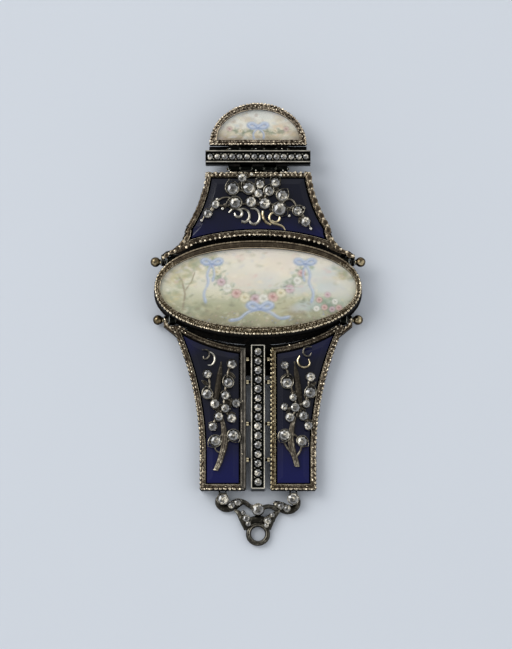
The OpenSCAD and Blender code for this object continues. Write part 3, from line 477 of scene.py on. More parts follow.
def settle(piece, body, slot, *nodes, angle=38):
    """Smooths a finished piece by angle and sets it on its body in place of the plain solids."""
    if not piece.data.polygons:
        raise RuntimeError(f"{piece.name} has no faces")
    activate(piece)
    bpy.ops.object.mode_set(mode="EDIT")
    bpy.ops.mesh.select_all(action="SELECT")
    bpy.ops.mesh.normals_make_consistent(inside=False)
    mesh = bmesh.from_edit_mesh(piece.data)
    for face in mesh.faces:
        longest = max(edge.calc_length() for edge in face.edges)
        face.select = len(face.verts) < 40 and face.calc_area() / longest > 0.5 * MM
    bmesh.update_edit_mesh(piece.data)
    bpy.ops.mesh.inset(thickness=0.06 * MM, use_individual=True)
    bpy.ops.object.mode_set(mode="OBJECT")
    bpy.ops.object.shade_smooth_by_angle(angle=math.radians(angle))
    cut = [i for i, paint in enumerate(piece.data.materials) if paint.name == "rose_cut_diamond"]
    for face in piece.data.polygons:
        if face.material_index in cut:
            face.use_smooth = False
    mark_wear_and_shade(piece)
    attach(piece, body)
    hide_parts(*nodes)
    return piece


# Outlines ---------------------------------------------------------------------------------------------------


def arc(circle, start, end, count):
    """Points on a circle from start to end, the short way round."""
    (cx, cy), radius = circle
    a = math.atan2(start[1] - cy, start[0] - cx)
    b = math.atan2(end[1] - cy, end[0] - cx)
    turn = (b - a + math.pi) % math.tau - math.pi
    return [
        (cx + radius * math.cos(a + turn * i / count), cy + radius * math.sin(a + turn * i / count))
        for i in range(count + 1)
    ]


def line(start, end, count):
    """Evenly spaced points on a straight line."""
    return [tuple(a + (b - a) * i / count for a, b in zip(start, end)) for i in range(count + 1)]


def on_circle(circle, y, side):
    """Point of a circle at the height y, on its left (-1) or its right (1)."""
    (cx, cy), radius = circle
    return (cx + side * math.sqrt(radius ** 2 - (y - cy) ** 2), y)


def grown(circle, by):
    """Circle about the same centre."""
    return (circle[0], circle[1] + by)


def meet(first, second, side):
    """Point where two circles meet, left (1) or right (-1) of the line between their centres."""
    (ax, ay), r = first
    (bx, by), s = second
    gap = math.hypot(bx - ax, by - ay)
    ux, uy = (bx - ax) / gap, (by - ay) / gap
    t = (gap ** 2 + r ** 2 - s ** 2) / (2 * gap)
    h = math.sqrt(r ** 2 - t ** 2) * side
    return (ax + ux * t - uy * h, ay + uy * t + ux * h)


def flip(points):
    """Mirror image of a line of points, run the other way."""
    return [(-x, y) for x, y in reversed(points)]


def panel_sides(inset, counts):
    """Sides of the upper panel at an inset from its outline: lower edge, tip, right side, top, left side, tip."""
    arch, side = grown(ARCH, inset), grown(SIDE, inset)
    cut, top = FOOT_Y + inset, PANEL_TOP - inset
    fine = []
    for i in range(701):
        y = cut + (top - cut) * i / 700
        x = on_circle(side, y, -1)[0] - 1.4 * max(0, 1 - ((y - 19.6) / 3.9) ** 2)
        if y >= arch[0][1] + math.sqrt(arch[1] ** 2 - x * x):
            fine.append((x, y))
    high = fine[0]
    low = high if high[1] > cut else on_circle(arch, cut, 1)
    sag = 0.85 * max(0, 1 - inset / 1.5)
    foot = arc(arch, (-low[0], low[1]), low, counts[0])
    lower = [(x, y - sag * max(0, 1 - ((abs(x) - 19.6) / 3.4) ** 2)) for x, y in foot]
    right, tip = spaced(fine, counts[2]), line(low, high, counts[1])
    return [lower, tip, right, line(right[-1], (-right[-1][0], top), counts[3]), flip(right), flip(tip)]


def lower_sides(inset, counts):
    """Sides of the right lower plate: foot, outer side, flare, tip, top edge, inner side."""
    top, flare = grown(TOP_ARCH, inset), grown(FLARE, inset)
    cut = CORNER_CUT - inset
    high, low = on_circle(flare, cut, -1), on_circle(top, cut, 1)
    if low[0] >= high[0]:
        low = high = meet(top, flare, -1)
    foot, toe = (INNER_X + inset, LOWER_FOOT + inset), (OUTER_X - inset, LOWER_FOOT + inset)
    knee = (OUTER_X - inset, FLARE_Y)
    head = (INNER_X + inset, top[0][1] - math.sqrt(top[1] ** 2 - (INNER_X + inset) ** 2))
    return [
        line(foot, toe, counts[0]), line(toe, knee, counts[1]), arc(flare, knee, high, counts[2]),
        line(high, low, counts[3]), arc(top, low, head, counts[4]), line(head, foot, counts[5]),
    ]


def half_oval(half, height, y, counts):
    """Straight edge and arch of a half-round plate; points of the arch are evenly spaced."""
    fine = [(half * math.cos(math.pi * i / 400), y + height * math.sin(math.pi * i / 400)) for i in range(401)]
    return [line((-half, y), (half, y), counts[0]), spaced(fine, counts[1])]


def spaced(points, count):
    """Evenly spaced points along a fine line."""
    runs = [0.0]
    for a, b in zip(points, points[1:]):
        runs.append(runs[-1] + math.dist(a, b))
    made, k = [], 0
    for i in range(count + 1):
        goal = runs[-1] * i / count
        while k < len(runs) - 2 and runs[k + 1] < goal:
            k += 1
        share = (goal - runs[k]) / (runs[k + 1] - runs[k])
        made.append(tuple(p + (q - p) * share for p, q in zip(points[k], points[k + 1])))
    return made


def crest_sides(inset, counts):
    """Sides of the crest at an inset from its outline."""
    a, b = CREST
    fine = []
    for i in range(401):
        t = math.pi * i / 400
        nx, ny = math.cos(t) / a, math.sin(t) / b
        size = math.hypot(nx, ny)
        x, y = a * math.cos(t) - inset * nx / size, CREST_Y + b * math.sin(t) - inset * ny / size
        if y >= CREST_Y + inset:
            fine.append((x, y))
    if fine[0][1] > CREST_Y + inset:
        fine = [(fine[0][0], CREST_Y + inset)] + fine + [(fine[-1][0], CREST_Y + inset)]
    return [line(fine[-1], fine[0], counts[0]), spaced(fine, counts[1])]


def crest_window(grow, counts):
    """Sides of the crest's window, grown outwards."""
    return half_oval(CREST_WINDOW[0] + grow, CREST_WINDOW[1] + 2 * grow, CREST_WINDOW_Y - grow, counts)


def oval_line(inset, count):
    """Outline of the oval at an inset, evenly spaced along its outer edge."""
    a, b = OVAL
    fine = []
    for i in range(1201):
        c, s = math.cos(math.tau * i / 1200), math.sin(math.tau * i / 1200)
        fine.append((math.copysign(a * abs(c) ** FULL, c), math.copysign(b * abs(s) ** FULL, s)))
    made = []
    for x, y in spaced(fine, count)[:-1]:
        nx, ny = x / a ** 2, y / b ** 2
        size = math.hypot(nx, ny)
        made.append((x - inset * nx / size, OVAL_Y + y - inset * ny / size))
    return made


def oval_window(count, grow=0.0):
    """Window of the oval, its points opposite those of the outline."""
    a, b = OVAL_WINDOW[0] + grow, OVAL_WINDOW[1] + grow
    return [
        (a * x / OVAL[0], OVAL_Y + b * (y - OVAL_Y) / OVAL[1]) for x, y in oval_line(0, count)
    ]


def joined(sides):
    """Closed outline of sides that share their end points."""
    return [p for side in sides for p in side[:-1]]


SAMPLES = 6


def lobe_counts(sides_of, pitches):
    """Points for each side, so that whole lobes fit on it. A short tip has two."""
    sides = sides_of(0, [60] * len(pitches))
    lengths = [sum(math.dist(a, b) for a, b in zip(side, side[1:])) for side in sides]
    return [max(1, round(l / pitch)) * SAMPLES if l > 3 else 2 for l, pitch in zip(lengths, pitches)]


def grooves(counts, plain=()):
    """About 1 at the notch between two lobes and 0 on their backs, uneven as hand work is, for each point."""
    values = []
    for side, count in enumerate(counts):
        if count == 2 or side in plain:
            values += [0.4 if count == 2 else 0.12] * count
            continue
        for _ in range(count // SAMPLES):
            cut, worn = DRAW.uniform(0.55, 1.1), DRAW.uniform(0, 0.22)
            notch = [1 - abs(math.sin(math.pi * i / SAMPLES)) ** 0.8 for i in range(SAMPLES)]
            values += [min(1.1, cut * share + worn) for share in notch]
    return values


def mix_loops(first, second, share):
    """Loop between two loops of equal count."""
    return [tuple(a + (b - a) * share for a, b in zip(p, q)) for p, q in zip(first, second)]


# Profile of a rim from the outer wall to the end of its notched chamfer: inset, height below the front, how
# much a notch moves the point inwards, and how much it lowers it
RIM = [
    (0.34, 1.7, 0, 0), (0.3, 1.3, 0, 0), (0.1, 1.12, 0.4, 0), (0.0, 0.9, 0.9, 0), (0.0, 0.55, 1.2, 0.1),
    (0.06, 0.28, 1.1, 0.5), (0.2, 0.1, 0.6, 1.0), (0.38, 0.05, 0.1, 1.1), (0.52, 0.1, 0, 0.8), (0.62, 0.17, 0, 0.4),
    (0.72, 0.17, 0, 0.1), (0.8, 0.15, 0, 0), (0.86, 0.14, 0, 0),
]
# Bezel between the notched chamfer and the window: share of the way, height below the front, and how much
# its own chasing lowers it
BEZEL = [
    (0.2, 0.12, 0.4), (0.4, 0.11, 0.8), (0.56, 0.13, 0.4), (0.68, 0.2, 0), (0.76, 0.22, 0), (0.83, 0.08, 0),
    (0.91, 0.04, 0.1), (0.99, 0.16, 0),
]


def framed(name, outline, window, heights, groove, depth, finishes=("aged_silver",), chased=0.25, calm=None):
    """Frame with a chased rim, a smooth bezel and a pocket, black in its slots and on its walls as painted shade.

    outline(inset) and window give its loops, and heights are those of its back, its front and the pocket's
    floor. calm(x, y) is the share of the chasing that a place keeps."""
    back, front, floor = heights
    loops = [level(outline(0.5), back), level(outline(0.36), back + 0.14)]
    for inset, drop, shift, fall in RIM:
        base = outline(inset)
        pushed = outline(inset + depth) if shift else base
        loops.append([
            (x + (u - x) * shift * g, y + (v - y) * shift * g, front - drop - depth * fall * g)
            for (x, y), (u, v), g in zip(base, pushed, groove)
        ])
    edge = outline(RIM[-1][0])
    flecks = [DRAW.uniform(0, 1) ** 2 * chased * depth * (calm(x, y) if calm else 1) for x, y in window]
    for share, drop, fall in BEZEL:
        middle = mix_loops(edge, window, share)
        loops.append([(x, y, front - drop - fall * f) for (x, y), f in zip(middle, flecks)])
    loops += [level(window, front - 0.42), level(window, floor)]
    piece = coat(sweep(name, loops), finishes[0], "black_tarnish", *finishes[1:])
    # Low faces and the upright walls under the rim take the black: painted shade
    for face in piece.data.polygons:
        z = face.center.z / MM
        upright = abs(face.normal.z) < 0.5 and len(face.vertices) < 5
        if z < front - 1.2 or upright and front - 1.0 < z < front - 0.35:
            face.material_index = 1
    return piece


# Materials --------------------------------------------------------------------------------------------------


def opaque(colour):
    """Colour with its alpha."""
    return (*colour, 1)


def colours():
    """Colours that the user chose."""
    return bpy.context.scene.chatelaine_colours


def sizes():
    """Sizes that the user chose."""
    return bpy.context.scene.chatelaine_sizes


def tone(code):
    """Linear colour of a hex code, or of a colour that the user chose, by its name."""
    return linear(code) if code.startswith("#") else getattr(colours(), code)


def add_node(tree, kind, settings=None, links=None):
    """Adds a node, sets its properties, inputs or colour stops, and links sockets or first outputs into it."""
    node = tree.nodes.new(kind)
    for key, value in (settings or {}).items():
        if key == "stops":
            stops = node.color_ramp.elements
            for stop, (place, colour) in zip(stops, (value[0], value[-1])):
                stop.position, stop.color = place, opaque(colour)
            for place, colour in value[1:-1]:
                stops.new(place).color = opaque(colour)
        elif isinstance(key, int) or key in node.inputs:
            node.inputs[key].default_value = value
        else:
            setattr(node, key, value)
    for key, source in (links or {}).items():
        tree.links.new(source.outputs[0] if isinstance(source, bpy.types.Node) else source, node.inputs[key])
    return node


def material(name):
    """Finish of this name, made on its first use."""
    paint = bpy.data.materials.get(name)
    if paint is None:
        paint = bpy.data.materials.new(name)
        paint.use_nodes = True
        tree = paint.node_tree
        tree.nodes.clear()
        place = add_node(tree, "ShaderNodeTexCoord").outputs["Object"]
        surface = metal(tree, place, **METALS[name]) if name in METALS else FINISHES[name](tree, place)
        add_node(tree, "ShaderNodeOutputMaterial", links={"Surface": surface})
    return paint


# Metals: tones in the hollows, on open faces and on rubbed edges; roughness where dull and where clean; size of
# the tarnish clouds; how much fine specks break the tones up; and where the tones stand on the attribute of
# rubbing and painted shade, which turns upright faces towards the dark tone
METALS = {
    # Silver, cast and chased, then darkened with age: brown-grey with warm bright edges
    "aged_silver": {"tones": ("tarnish", "silver", "highlight"), "specks": 0.5},
    # Silver-gilt, punched all over: golden brown with black and bright specks
    "punched_gilt": {"tones": ("#120D09", "#5E5040", "#DDCCB2"), "specks": 1.4},
    # Silver of the collets, cooler and a little cleaner than the frames
    "aged_spray": {
        "tones": ("tarnish", "spray", "#A19A8A"), "dull": 0.45, "clean": 0.22, "tarnish_mm": 0.9,
        "steps": (0.36, 0.64, 0.92)},
    # Silver of the stems and leaves, dull and brown-black, with only a little light on its backs
    "bark_silver": {"tones": ("#12100D", "#49433A", "#B5AC98"), "clean": 0.3, "tarnish_mm": 0.7},
    # Thin drawn silver of the leaf rims, oxidised dark, with pale lights only on its crowns
    "leaf_silver": {
        "tones": ("#141210", "#36332C", "#BDB6A4"), "dull": 0.4, "clean": 0.22, "tarnish_mm": 0.6,
        "steps": (0.5, 0.74, 1.0)},
    # Silver of the bars' lips, rubbed pale and satin
    "bright_silver": {"tones": ("#6A655A", "#CFC9BA", "#F6F2E6"), "dull": 0.55, "clean": 0.42, "tarnish_mm": 2.4},
    # Flat border silver, grey with a soft brown bloom and no bright cuts
    "plain_silver": {"tones": ("#1B1916", "#5F5A52", "#938C80"), "clean": 0.36},
    # Silver of the oval's rim, punched and worn: brown with black and pale specks
    "chased_silver": {"tones": ("tarnish", "#66573F", "highlight"), "specks": 1.05},
    # Silver of the curls and beads, rubbed clean so that it shines in long soft lights
    "polished_silver": {"tones": ("#24221E", "#7C776B", "#E4DFD0"), "dull": 0.4, "clean": 0.2, "tarnish_mm": 0.9},
    # Fresh cuts of the graver in silver-gilt: pale gold, satin, browner where they turn away
    "cut_gilt": {"tones": ("#2C241B", "#84755C", "#E9DBC0"), "dull": 0.45, "clean": 0.25, "tarnish_mm": 0.7},
    # Smooth lobes of the rims, brown-grey with a soft pale light on their backs
    "lobe_silver": {"tones": ("#1B1611", "#5F5344", "#B7A68A"), "dull": 0.42, "clean": 0.3, "tarnish_mm": 1.4},
    # Silver of the bars and the hinges, oxidised nearly black, with a cold cast and bright rubbed edges
    "oxidised_silver": {"tones": ("#080908", "#181A17", "#B9BAAE"), "dull": 0.42, "clean": 0.2, "tarnish_mm": 1.2},
    # Silver of the drop: dark brown-grey, its backs rubbed to long pale lights
    "drop_silver": {"tones": ("#151412", "#403D36", "#D2CBB8"), "dull": 0.42, "clean": 0.2, "tarnish_mm": 1.0},
    # Gilt silver, turned and worn: old gold with a bright crown and dark sides, partly polished wear and partly
    # painted light and shade
    "worn_gilt": {
        "tones": ("#17110B", "gilt", "#E8D8B0"), "dull": 0.4, "clean": 0.16, "tarnish_mm": 1.1,
        "steps": (0.42, 0.56, 0.74)},
}


def metal(tree, place, tones, dull=0.5, clean=0.24, tarnish_mm=1.6, specks=0.0, steps=(0.32, 0.58, 0.8)):
    """Cast or drawn metal that has darkened in its hollows and is rubbed bright on its edges, with painted shade on
    its upright faces.
    """
    noise, sums = "ShaderNodeTexNoise", "ShaderNodeMath"
    wear_and_shade = add_node(tree, "ShaderNodeAttribute", {"attribute_name": "Wear"}).outputs["Fac"]
    cloud = add_node(tree, noise, {"Scale": 1 / (tarnish_mm * MM), "Detail": 5, "Roughness": 0.62}, {"Vector": place})
    drift = add_node(tree, sums, {"operation": "MULTIPLY_ADD", 1: 0.55, 2: -0.275}, {0: cloud})
    # rubbed holds the rubbing and the painted shade of upright faces, clouded by tarnish
    rubbed = add_node(tree, sums, {"operation": "ADD", "use_clamp": True}, {0: wear_and_shade, 1: drift})
    fleck = add_node(tree, noise, {"Scale": 1 / (0.4 * MM), "Detail": 2, "Roughness": 0.6}, {"Vector": place})
    push = add_node(tree, sums, {"operation": "MULTIPLY_ADD", 1: specks, 2: -specks / 2}, {0: fleck})
    speckled = add_node(tree, sums, {"operation": "ADD", "use_clamp": True}, {0: rubbed, 1: push})
    stops = [(step, tone(code)) for step, code in zip(steps, tones)]
    ramp = add_node(tree, "ShaderNodeValToRGB", {"stops": stops}, {"Fac": speckled})
    rough = add_node(tree, "ShaderNodeMapRange", {1: 0.35, 2: 0.8, 3: dull, 4: clean}, {0: rubbed})
    grit = add_node(tree, noise, {"Scale": 1 / (0.16 * MM), "Detail": 3}, {"Vector": place})
    bump = add_node(tree, "ShaderNodeBump", {"Strength": 0.35, "Distance": 0.03 * MM}, {"Height": grit})
    return add_node(
        tree, "ShaderNodeBsdfPrincipled", {"Metallic": 1.0}, {"Base Color": ramp, "Roughness": rough, "Normal": bump})


def black_tarnish(tree, place):
    """Dead matt black in the slots, on the walls and on the sheets behind the gaps: partly thick tarnish and old
    polish, partly painted shade.
    """
    cloud = add_node(tree, "ShaderNodeTexNoise", {"Scale": 1 / (1.1 * MM), "Detail": 4}, {"Vector": place})
    stops = [(0.4, tone("#050504")), (0.72, tone("#1D1813"))]
    ramp = add_node(tree, "ShaderNodeValToRGB", {"stops": stops}, {"Fac": cloud})
    return add_node(
        tree, "ShaderNodeBsdfPrincipled", {"Roughness": 0.8, "Specular IOR Level": 0.2}, {"Base Color": ramp})


# Painted light and shade of the enamel: how blue it is from the foot of the lower plates (0) to the top of the upper
# panel (1)
ENAMEL_SHADING = [
    (0, 0.8), (0.1, 0.6), (0.17, 0.2), (0.3, 0.02), (0.42, 0.04), (0.47, 0.32), (0.52, 0.62), (0.76, 0.66),
    (0.83, 0.22), (0.9, 0.04), (1, 0.02),
]


def fired_cobalt(tree, place):
    """Translucent cobalt enamel, fired and stoned flat: a deep wet blue, with painted shade and painted light in
    bands along the chain.
    """
    cloud = add_node(tree, "ShaderNodeTexNoise", {"Scale": 1 / (9 * MM), "Detail": 2}, {"Vector": place})
    axes = add_node(tree, "ShaderNodeSeparateXYZ", links={"Vector": place})
    height = add_node(
        tree, "ShaderNodeMapRange", {1: -43 * MM, 2: 39 * MM, 3: -0.06, 4: 0.94}, {0: axes.outputs["Y"]})
    drift = add_node(tree, "ShaderNodeMath", {"operation": "MULTIPLY_ADD", 1: 0.12}, {0: cloud, 2: height})
    # deep is the painted shade end of the tones, blue their painted light end
    deep, blue = np.array(tone("#12131C")), np.array(tone("enamel"))
    stops = [(at, deep + (blue - deep) * share) for at, share in ENAMEL_SHADING]
    ramp = add_node(tree, "ShaderNodeValToRGB", {"stops": stops}, {"Fac": drift})
    wave = add_node(tree, "ShaderNodeTexNoise", {"Scale": 1 / (3.2 * MM), "Detail": 1}, {"Vector": place})
    bump = add_node(tree, "ShaderNodeBump", {"Strength": 0.25, "Distance": 0.05 * MM}, {"Height": wave})
    return add_node(
        tree, "ShaderNodeBsdfPrincipled", {"Roughness": 0.14, "IOR": 1.52}, {"Base Color": ramp, "Normal": bump})


def rose_cut_diamond(tree, _):
    """Rose-cut diamond over closed foil: grey-white, each facet painted flashing or dim, as painted glints and
    painted shade.
    """
    facet = add_node(tree, "ShaderNodeAttribute", {"attribute_name": "Facet"}).outputs["Fac"]
    stops = [
        (at, [min(1, v * share) for v in tone("stone")])
        for at, share in ((0.05, 0.025), (0.4, 0.1), (0.74, 0.34), (0.98, 1.2))
    ]
    ramp = add_node(tree, "ShaderNodeValToRGB", {"stops": stops}, {"Fac": facet})
    return add_node(tree, "ShaderNodeBsdfPrincipled", {"Roughness": 0.06, "IOR": 2.42}, {"Base Color": ramp})


def watch_glass(tree, _):
    """Blown watch glass: clear, with a faint veil towards its edge."""
    edge = add_node(tree, "ShaderNodeLayerWeight", {"Blend": 0.35})
    veil = add_node(tree, "ShaderNodeMapRange", {1: 0.0, 2: 1.0, 3: 0.06, 4: 0.5}, {0: edge.outputs["Facing"]})
    return add_node(
        tree, "ShaderNodeBsdfPrincipled", {"Base Color": opaque(tone("#E9EEF0")), "Roughness": 0.03, "IOR": 1.5},
        {"Alpha": veil})


def painted_card(tree, place):
    """Gouache on ivory card: soft, matt, with the brush work in the point attribute Paint."""
    brush = add_node(tree, "ShaderNodeAttribute", {"attribute_name": "Paint"}).outputs["Color"]
    grain = add_node(tree, "ShaderNodeTexNoise", {"Scale": 1 / (0.5 * MM), "Detail": 3}, {"Vector": place})
    bump = add_node(tree, "ShaderNodeBump", {"Strength": 0.2, "Distance": 0.02 * MM}, {"Height": grain})
    return add_node(tree, "ShaderNodeBsdfPrincipled", {"Roughness": 0.62}, {"Base Color": brush, "Normal": bump})


def pale_paper(tree, place):
    """Smooth matt paper: one pale blue-grey with a very faint mottling."""
    cloud = add_node(tree, "ShaderNodeTexNoise", {"Scale": 1 / (35 * MM), "Detail": 2}, {"Vector": place})
    stops = [(0, [v * 0.985 for v in tone("floor")]), (1, tone("floor"))]
    ramp = add_node(tree, "ShaderNodeValToRGB", {"stops": stops}, {"Fac": cloud})
    return add_node(tree, "ShaderNodeBsdfPrincipled", {"Roughness": 0.9}, {"Base Color": ramp})


FINISHES = {
    "black_tarnish": black_tarnish, "fired_cobalt": fired_cobalt, "rose_cut_diamond": rose_cut_diamond,
    "watch_glass": watch_glass, "painted_card": painted_card, "pale_paper": pale_paper,
}


# Painted scenes ---------------------------------------------------------------------------------------------


def blob(canvas, middle, size, turn, code, strength, edge=2.0):
    """One soft dab of the brush on the canvas (places, colours)."""
    places, shades = canvas
    dx, dy = places[:, 0] - middle[0], places[:, 1] - middle[1]
    u = (dx * math.cos(turn) + dy * math.sin(turn)) / size[0]
    v = (-dx * math.sin(turn) + dy * math.cos(turn)) / size[1]
    cover = strength * np.clip(1.15 - (u * u + v * v) ** (edge / 2), 0, 1)[:, None]
    shades += (np.array(linear(code)) - shades) * cover


def stroke(canvas, points, width, code, strength):
    """A brush line through points, as a run of dabs."""
    for (ax, ay), (bx, by) in zip(points, points[1:]):
        run = math.dist((ax, ay), (bx, by))
        count = max(1, round(run / (width * 0.5)))
        turn = math.atan2(by - ay, bx - ax)
        for i in range(count):
            share = (i + 0.5) / count
            blob(canvas, (ax + (bx - ax) * share, ay + (by - ay) * share), (width, width * 0.6), turn, code, strength)


def rose(canvas, x, y, size, dark, light):
    """A small rose: a dark heart and lighter turned petals."""
    blob(canvas, (x, y), (size * 1.05, size * 0.95), 0, dark, 0.6)
    for k in range(6):
        angle = k * math.tau / 6 + x
        petal = (x + 0.52 * size * math.cos(angle), y + 0.48 * size * math.sin(angle))
        blob(canvas, petal, (size * 0.5, size * 0.32), angle + 1.5, light, 0.5)
    blob(canvas, (x - 0.1 * size, y + 0.1 * size), (size * 0.34, size * 0.28), 0, dark, 0.55)
    blob(canvas, (x + 0.15 * size, y + 0.3 * size), (size * 0.26, size * 0.16), 0.4, light, 0.6)


def leaves(canvas, x, y, spread, count, codes, draw):
    """Leaf dabs scattered round a place."""
    for _ in range(count):
        angle, reach = draw.uniform(0, math.tau), spread * draw.uniform(0.3, 1.0)
        middle = (x + reach * math.cos(angle), y + 0.75 * reach * math.sin(angle))
        size = (draw.uniform(0.45, 0.85), draw.uniform(0.26, 0.42))
        blob(canvas, middle, size, angle + draw.uniform(-0.6, 0.6), draw.choice(codes), 0.42)


def foliage(canvas, x, y, spread, count, codes, draw):
    """Soft mass of a tree's crown or a bush."""
    for _ in range(count):
        middle = (draw.gauss(x, spread * 0.5), draw.gauss(y, spread * 0.36))
        size = (draw.uniform(0.5, 1.5), draw.uniform(0.35, 0.9))
        blob(canvas, middle, size, draw.uniform(-0.5, 0.5), draw.choice(codes), 0.3)


def ground(canvas, low, high, tones):
    """Upright wash from the lower tone to the upper one."""
    places, shades = canvas
    height = np.clip((places[:, 1] - low) / (high - low), 0, 1)
    table = np.array([linear(t) for t in tones])
    at = height * (len(tones) - 1)
    index = np.minimum(at.astype(int), len(tones) - 2)
    share = (at - index)[:, None]
    shades[:] = table[index] * (1 - share) + table[index + 1] * share


def dabs(canvas, draw, count, box, size, codes, strength):
    """Dabs over a box (left, right, low, high): large faint patches of a size, or small ones where it is 0."""
    wide, high, lean = ((0.6, 1.2), (0.25, 0.5), 0.3) if size else ((0.3, 1.1), (0.2, 0.6), 0.7)
    grow = size or 1
    for _ in range(count):
        x, y = draw.uniform(*box[:2]), draw.uniform(*box[2:])
        across, along = draw.uniform(*wide) * grow, draw.uniform(*high) * grow
        blob(canvas, (x, y), (across, along), draw.uniform(-lean, lean), draw.choice(codes), strength)


def rounded(points):
    """The same line with its corners cut three times."""
    for _ in range(3):
        cut = [points[0]]
        for (ax, ay), (bx, by) in zip(points, points[1:]):
            cut += [(0.75 * ax + 0.25 * bx, 0.75 * ay + 0.25 * by), (0.25 * ax + 0.75 * bx, 0.25 * ay + 0.75 * by)]
        points = cut + [points[-1]]
    return points


BLUES = ("#9FAFCC", "#CFD8E6", "#8193B8")


def ribbon(canvas, points, width):
    """Broad pale ribbon with a darker fold along it."""
    points = rounded(points)
    stroke(canvas, points, width * 1.5, BLUES[0], 0.1)
    stroke(canvas, points, width * 1.05, BLUES[0], 0.16)
    stroke(canvas, [(x + 0.12 * width, y + 0.3 * width) for x, y in points], width * 0.6, BLUES[1], 0.26)
    stroke(canvas, [(x - 0.1 * width, y - 0.45 * width) for x, y in points], width * 0.34, BLUES[2], 0.14)


def bow(canvas, x, y, size):
    """A ribbon bow with two loops."""
    for side in (-1, 1):
        loop = ((0, 0), (0.8, 0.62), (1.5, 0.3), (0.9, -0.22), (0, 0))
        ribbon(canvas, [(x + side * u * size, y + v * size) for u, v in loop], 0.4 * size)
    blob(canvas, (x, y), (0.34 * size, 0.32 * size), 0, BLUES[2], 0.5)
    blob(canvas, (x - 0.05, y + 0.1 * size), (0.2 * size, 0.14 * size), 0, BLUES[1], 0.6)


# Washes of the garden: count, box, size (0 for small dabs), colours and strength
MIST = (
    (60, (-24, 24, -2, 10), 5, ("#F8EEDA", "#ECDCD2", "#DAD8DC", "#F4EACF", "#E2DEC4", "#EBD4C4"), 0.24),
    (56, (-24, 24, -10.5, -3), 4, ("#B4B48A", "#8E9467", "#CDC293", "#9C8B60", "#C2C6A4", "#DAD2AA"), 0.28),
    (26, (8, 24, -5, 5), 4, ("#C6D6D2", "#B4C6BE", "#DCE2DA", "#D2D0DA"), 0.26),
)
MOTTLING = (
    (260, (-24, 24, -2, 10), 0,
     ("#FBF3E0", "#E2D2C2", "#CFCBCB", "#F6E6C4", "#BDB890", "#E6C3B4", "#C8D6D2"), 0.36),
    (260, (-24, 24, -10, -2), 0,
     ("#A6A67C", "#858A5E", "#DCD2A6", "#93825A", "#C6CCAE", "#E6DEBC", "#646845"), 0.36),
)
# Its masses of leaves: x, y, spread and count; its trunks: line and width; its bush of roses
CROWNS = (
    (-20.5, 2.6, 3.4, 70), (-16.0, 5.8, 3.0, 60), (-21.5, -2.2, 2.2, 36), (-11.5, 7.9, 2.2, 30),
    (21.0, 3.6, 2.2, 34),
)
TRUNKS = (
    ([(-18.8, -5.5), (-18.2, -1.5), (-18.9, 1.5), (-20.2, 4.0)], 0.55),
    ([(-18.3, -0.8), (-16.6, 1.6), (-15.8, 4.0)], 0.38),
)
BUSH = ((15.3, -3.0), (17.4, -1.7), (19.2, -3.4), (16.6, -4.9), (18.5, -5.4), (14.6, -5.2), (20.2, -5.0))
REDS = (("#B9706E", "#EBC3B8"), ("#D2BE8C", "#F7EED2"), ("#A9747C", "#E5C6CC"), ("#CFC8B8", "#FBF7EC"))


def garden(canvas):
    """Picture of the oval: a rose garland tied with blue ribbon over a misty green garden."""
    draw = random.Random(5)
    ground(canvas, -10, 10, ["#857A50", "#A79E72", "#C6C29C", "#DCD8BC", "#ECE2C9", "#F3E9D2", "#F1E7D8"])
    for wash in MIST:
        dabs(canvas, draw, *wash)
    for crown in CROWNS:
        foliage(canvas, *crown, ["#CFC38C", "#A9A873", "#8C966E", "#DED2A2", "#B7A36D", "#9FA98A"], draw)
    for trunk, width in TRUNKS:
        stroke(canvas, trunk, width, "#8C7350", 0.34)
    foliage(canvas, -18.6, 3.6, 3.2, 44, ["#C9BE86", "#97A078", "#E0D5AA", "#B3AE80"], draw)
    foliage(canvas, -16, -6.4, 4.4, 40, ["#8E9467", "#B9B487", "#79805A", "#D6CDA4"], draw)
    for wash in MOTTLING:
        dabs(canvas, draw, *wash)
    swag = [(-11.5, 5.8), (-9.2, 1.4), (-5.0, -1.6), (0.5, -2.7), (6.0, -1.3), (9.8, 1.8), (11.8, 6.0)]
    for x, y in spaced(swag, 9):
        foliage(canvas, x, y, 1.9, 9, ["#A9B596", "#BFC6A4", "#8FA088", "#CDD2B4"], draw)
    stroke(canvas, rounded(swag), 0.5, "#8A9B72", 0.2)
    for place in spaced(swag, 14):
        leaves(canvas, place[0], place[1], 2.1, 13, ["#7F936C", "#9BAA84", "#6F8A74", "#B4BC96"], draw)
    for k, place in enumerate(spaced(swag, 13)):
        size = 1.0 + 0.6 * math.sin(math.pi * k / 13)
        rose(canvas, place[0] + draw.uniform(-0.4, 0.4), place[1] + draw.uniform(-0.45, 0.45), size, *REDS[k % 4])
    for x, tail in ((-11.5, -1), (11.8, 1)):
        fall = ((0, 6.2), (1.4, 3.6), (0.7, 1.4), (2.2, -1.2), (1.6, -3.4))
        ribbon(canvas, [(x + u * tail, y) for u, y in fall], 0.62)
        ribbon(canvas, [(x, 6.0), (x - 0.7 * tail, 3.8), (x - 0.2 * tail, 2.0)], 0.5)
        bow(canvas, x, 6.4, 1.8)
    ribbon(canvas, [(0.5, -5.2), (-2.8, -6.1), (-4.6, -8.0), (-6.8, -8.2)], 0.66)
    ribbon(canvas, [(0.5, -5.2), (3.4, -6.3), (5.4, -7.9), (7.6, -7.4)], 0.66)
    bow(canvas, 0.5, -5.0, 2.2)
    foliage(canvas, 17.6, -4.2, 3.0, 60, ["#7F936C", "#8FA68E", "#A9B596", "#5F7A60"], draw)
    for k, (x, y) in enumerate(BUSH):
        rose(canvas, x, y, 0.95, *REDS[(0, 2, 3)[k % 3]])
    for _ in range(70):
        spot = (draw.uniform(-21, 21), draw.uniform(-9.5, -6))
        blob(canvas, spot, (0.26, 0.22), 0, draw.choice(["#F3EBD2", "#D9A7A4", "#8E9FC6", "#6E7350"]), 0.42)


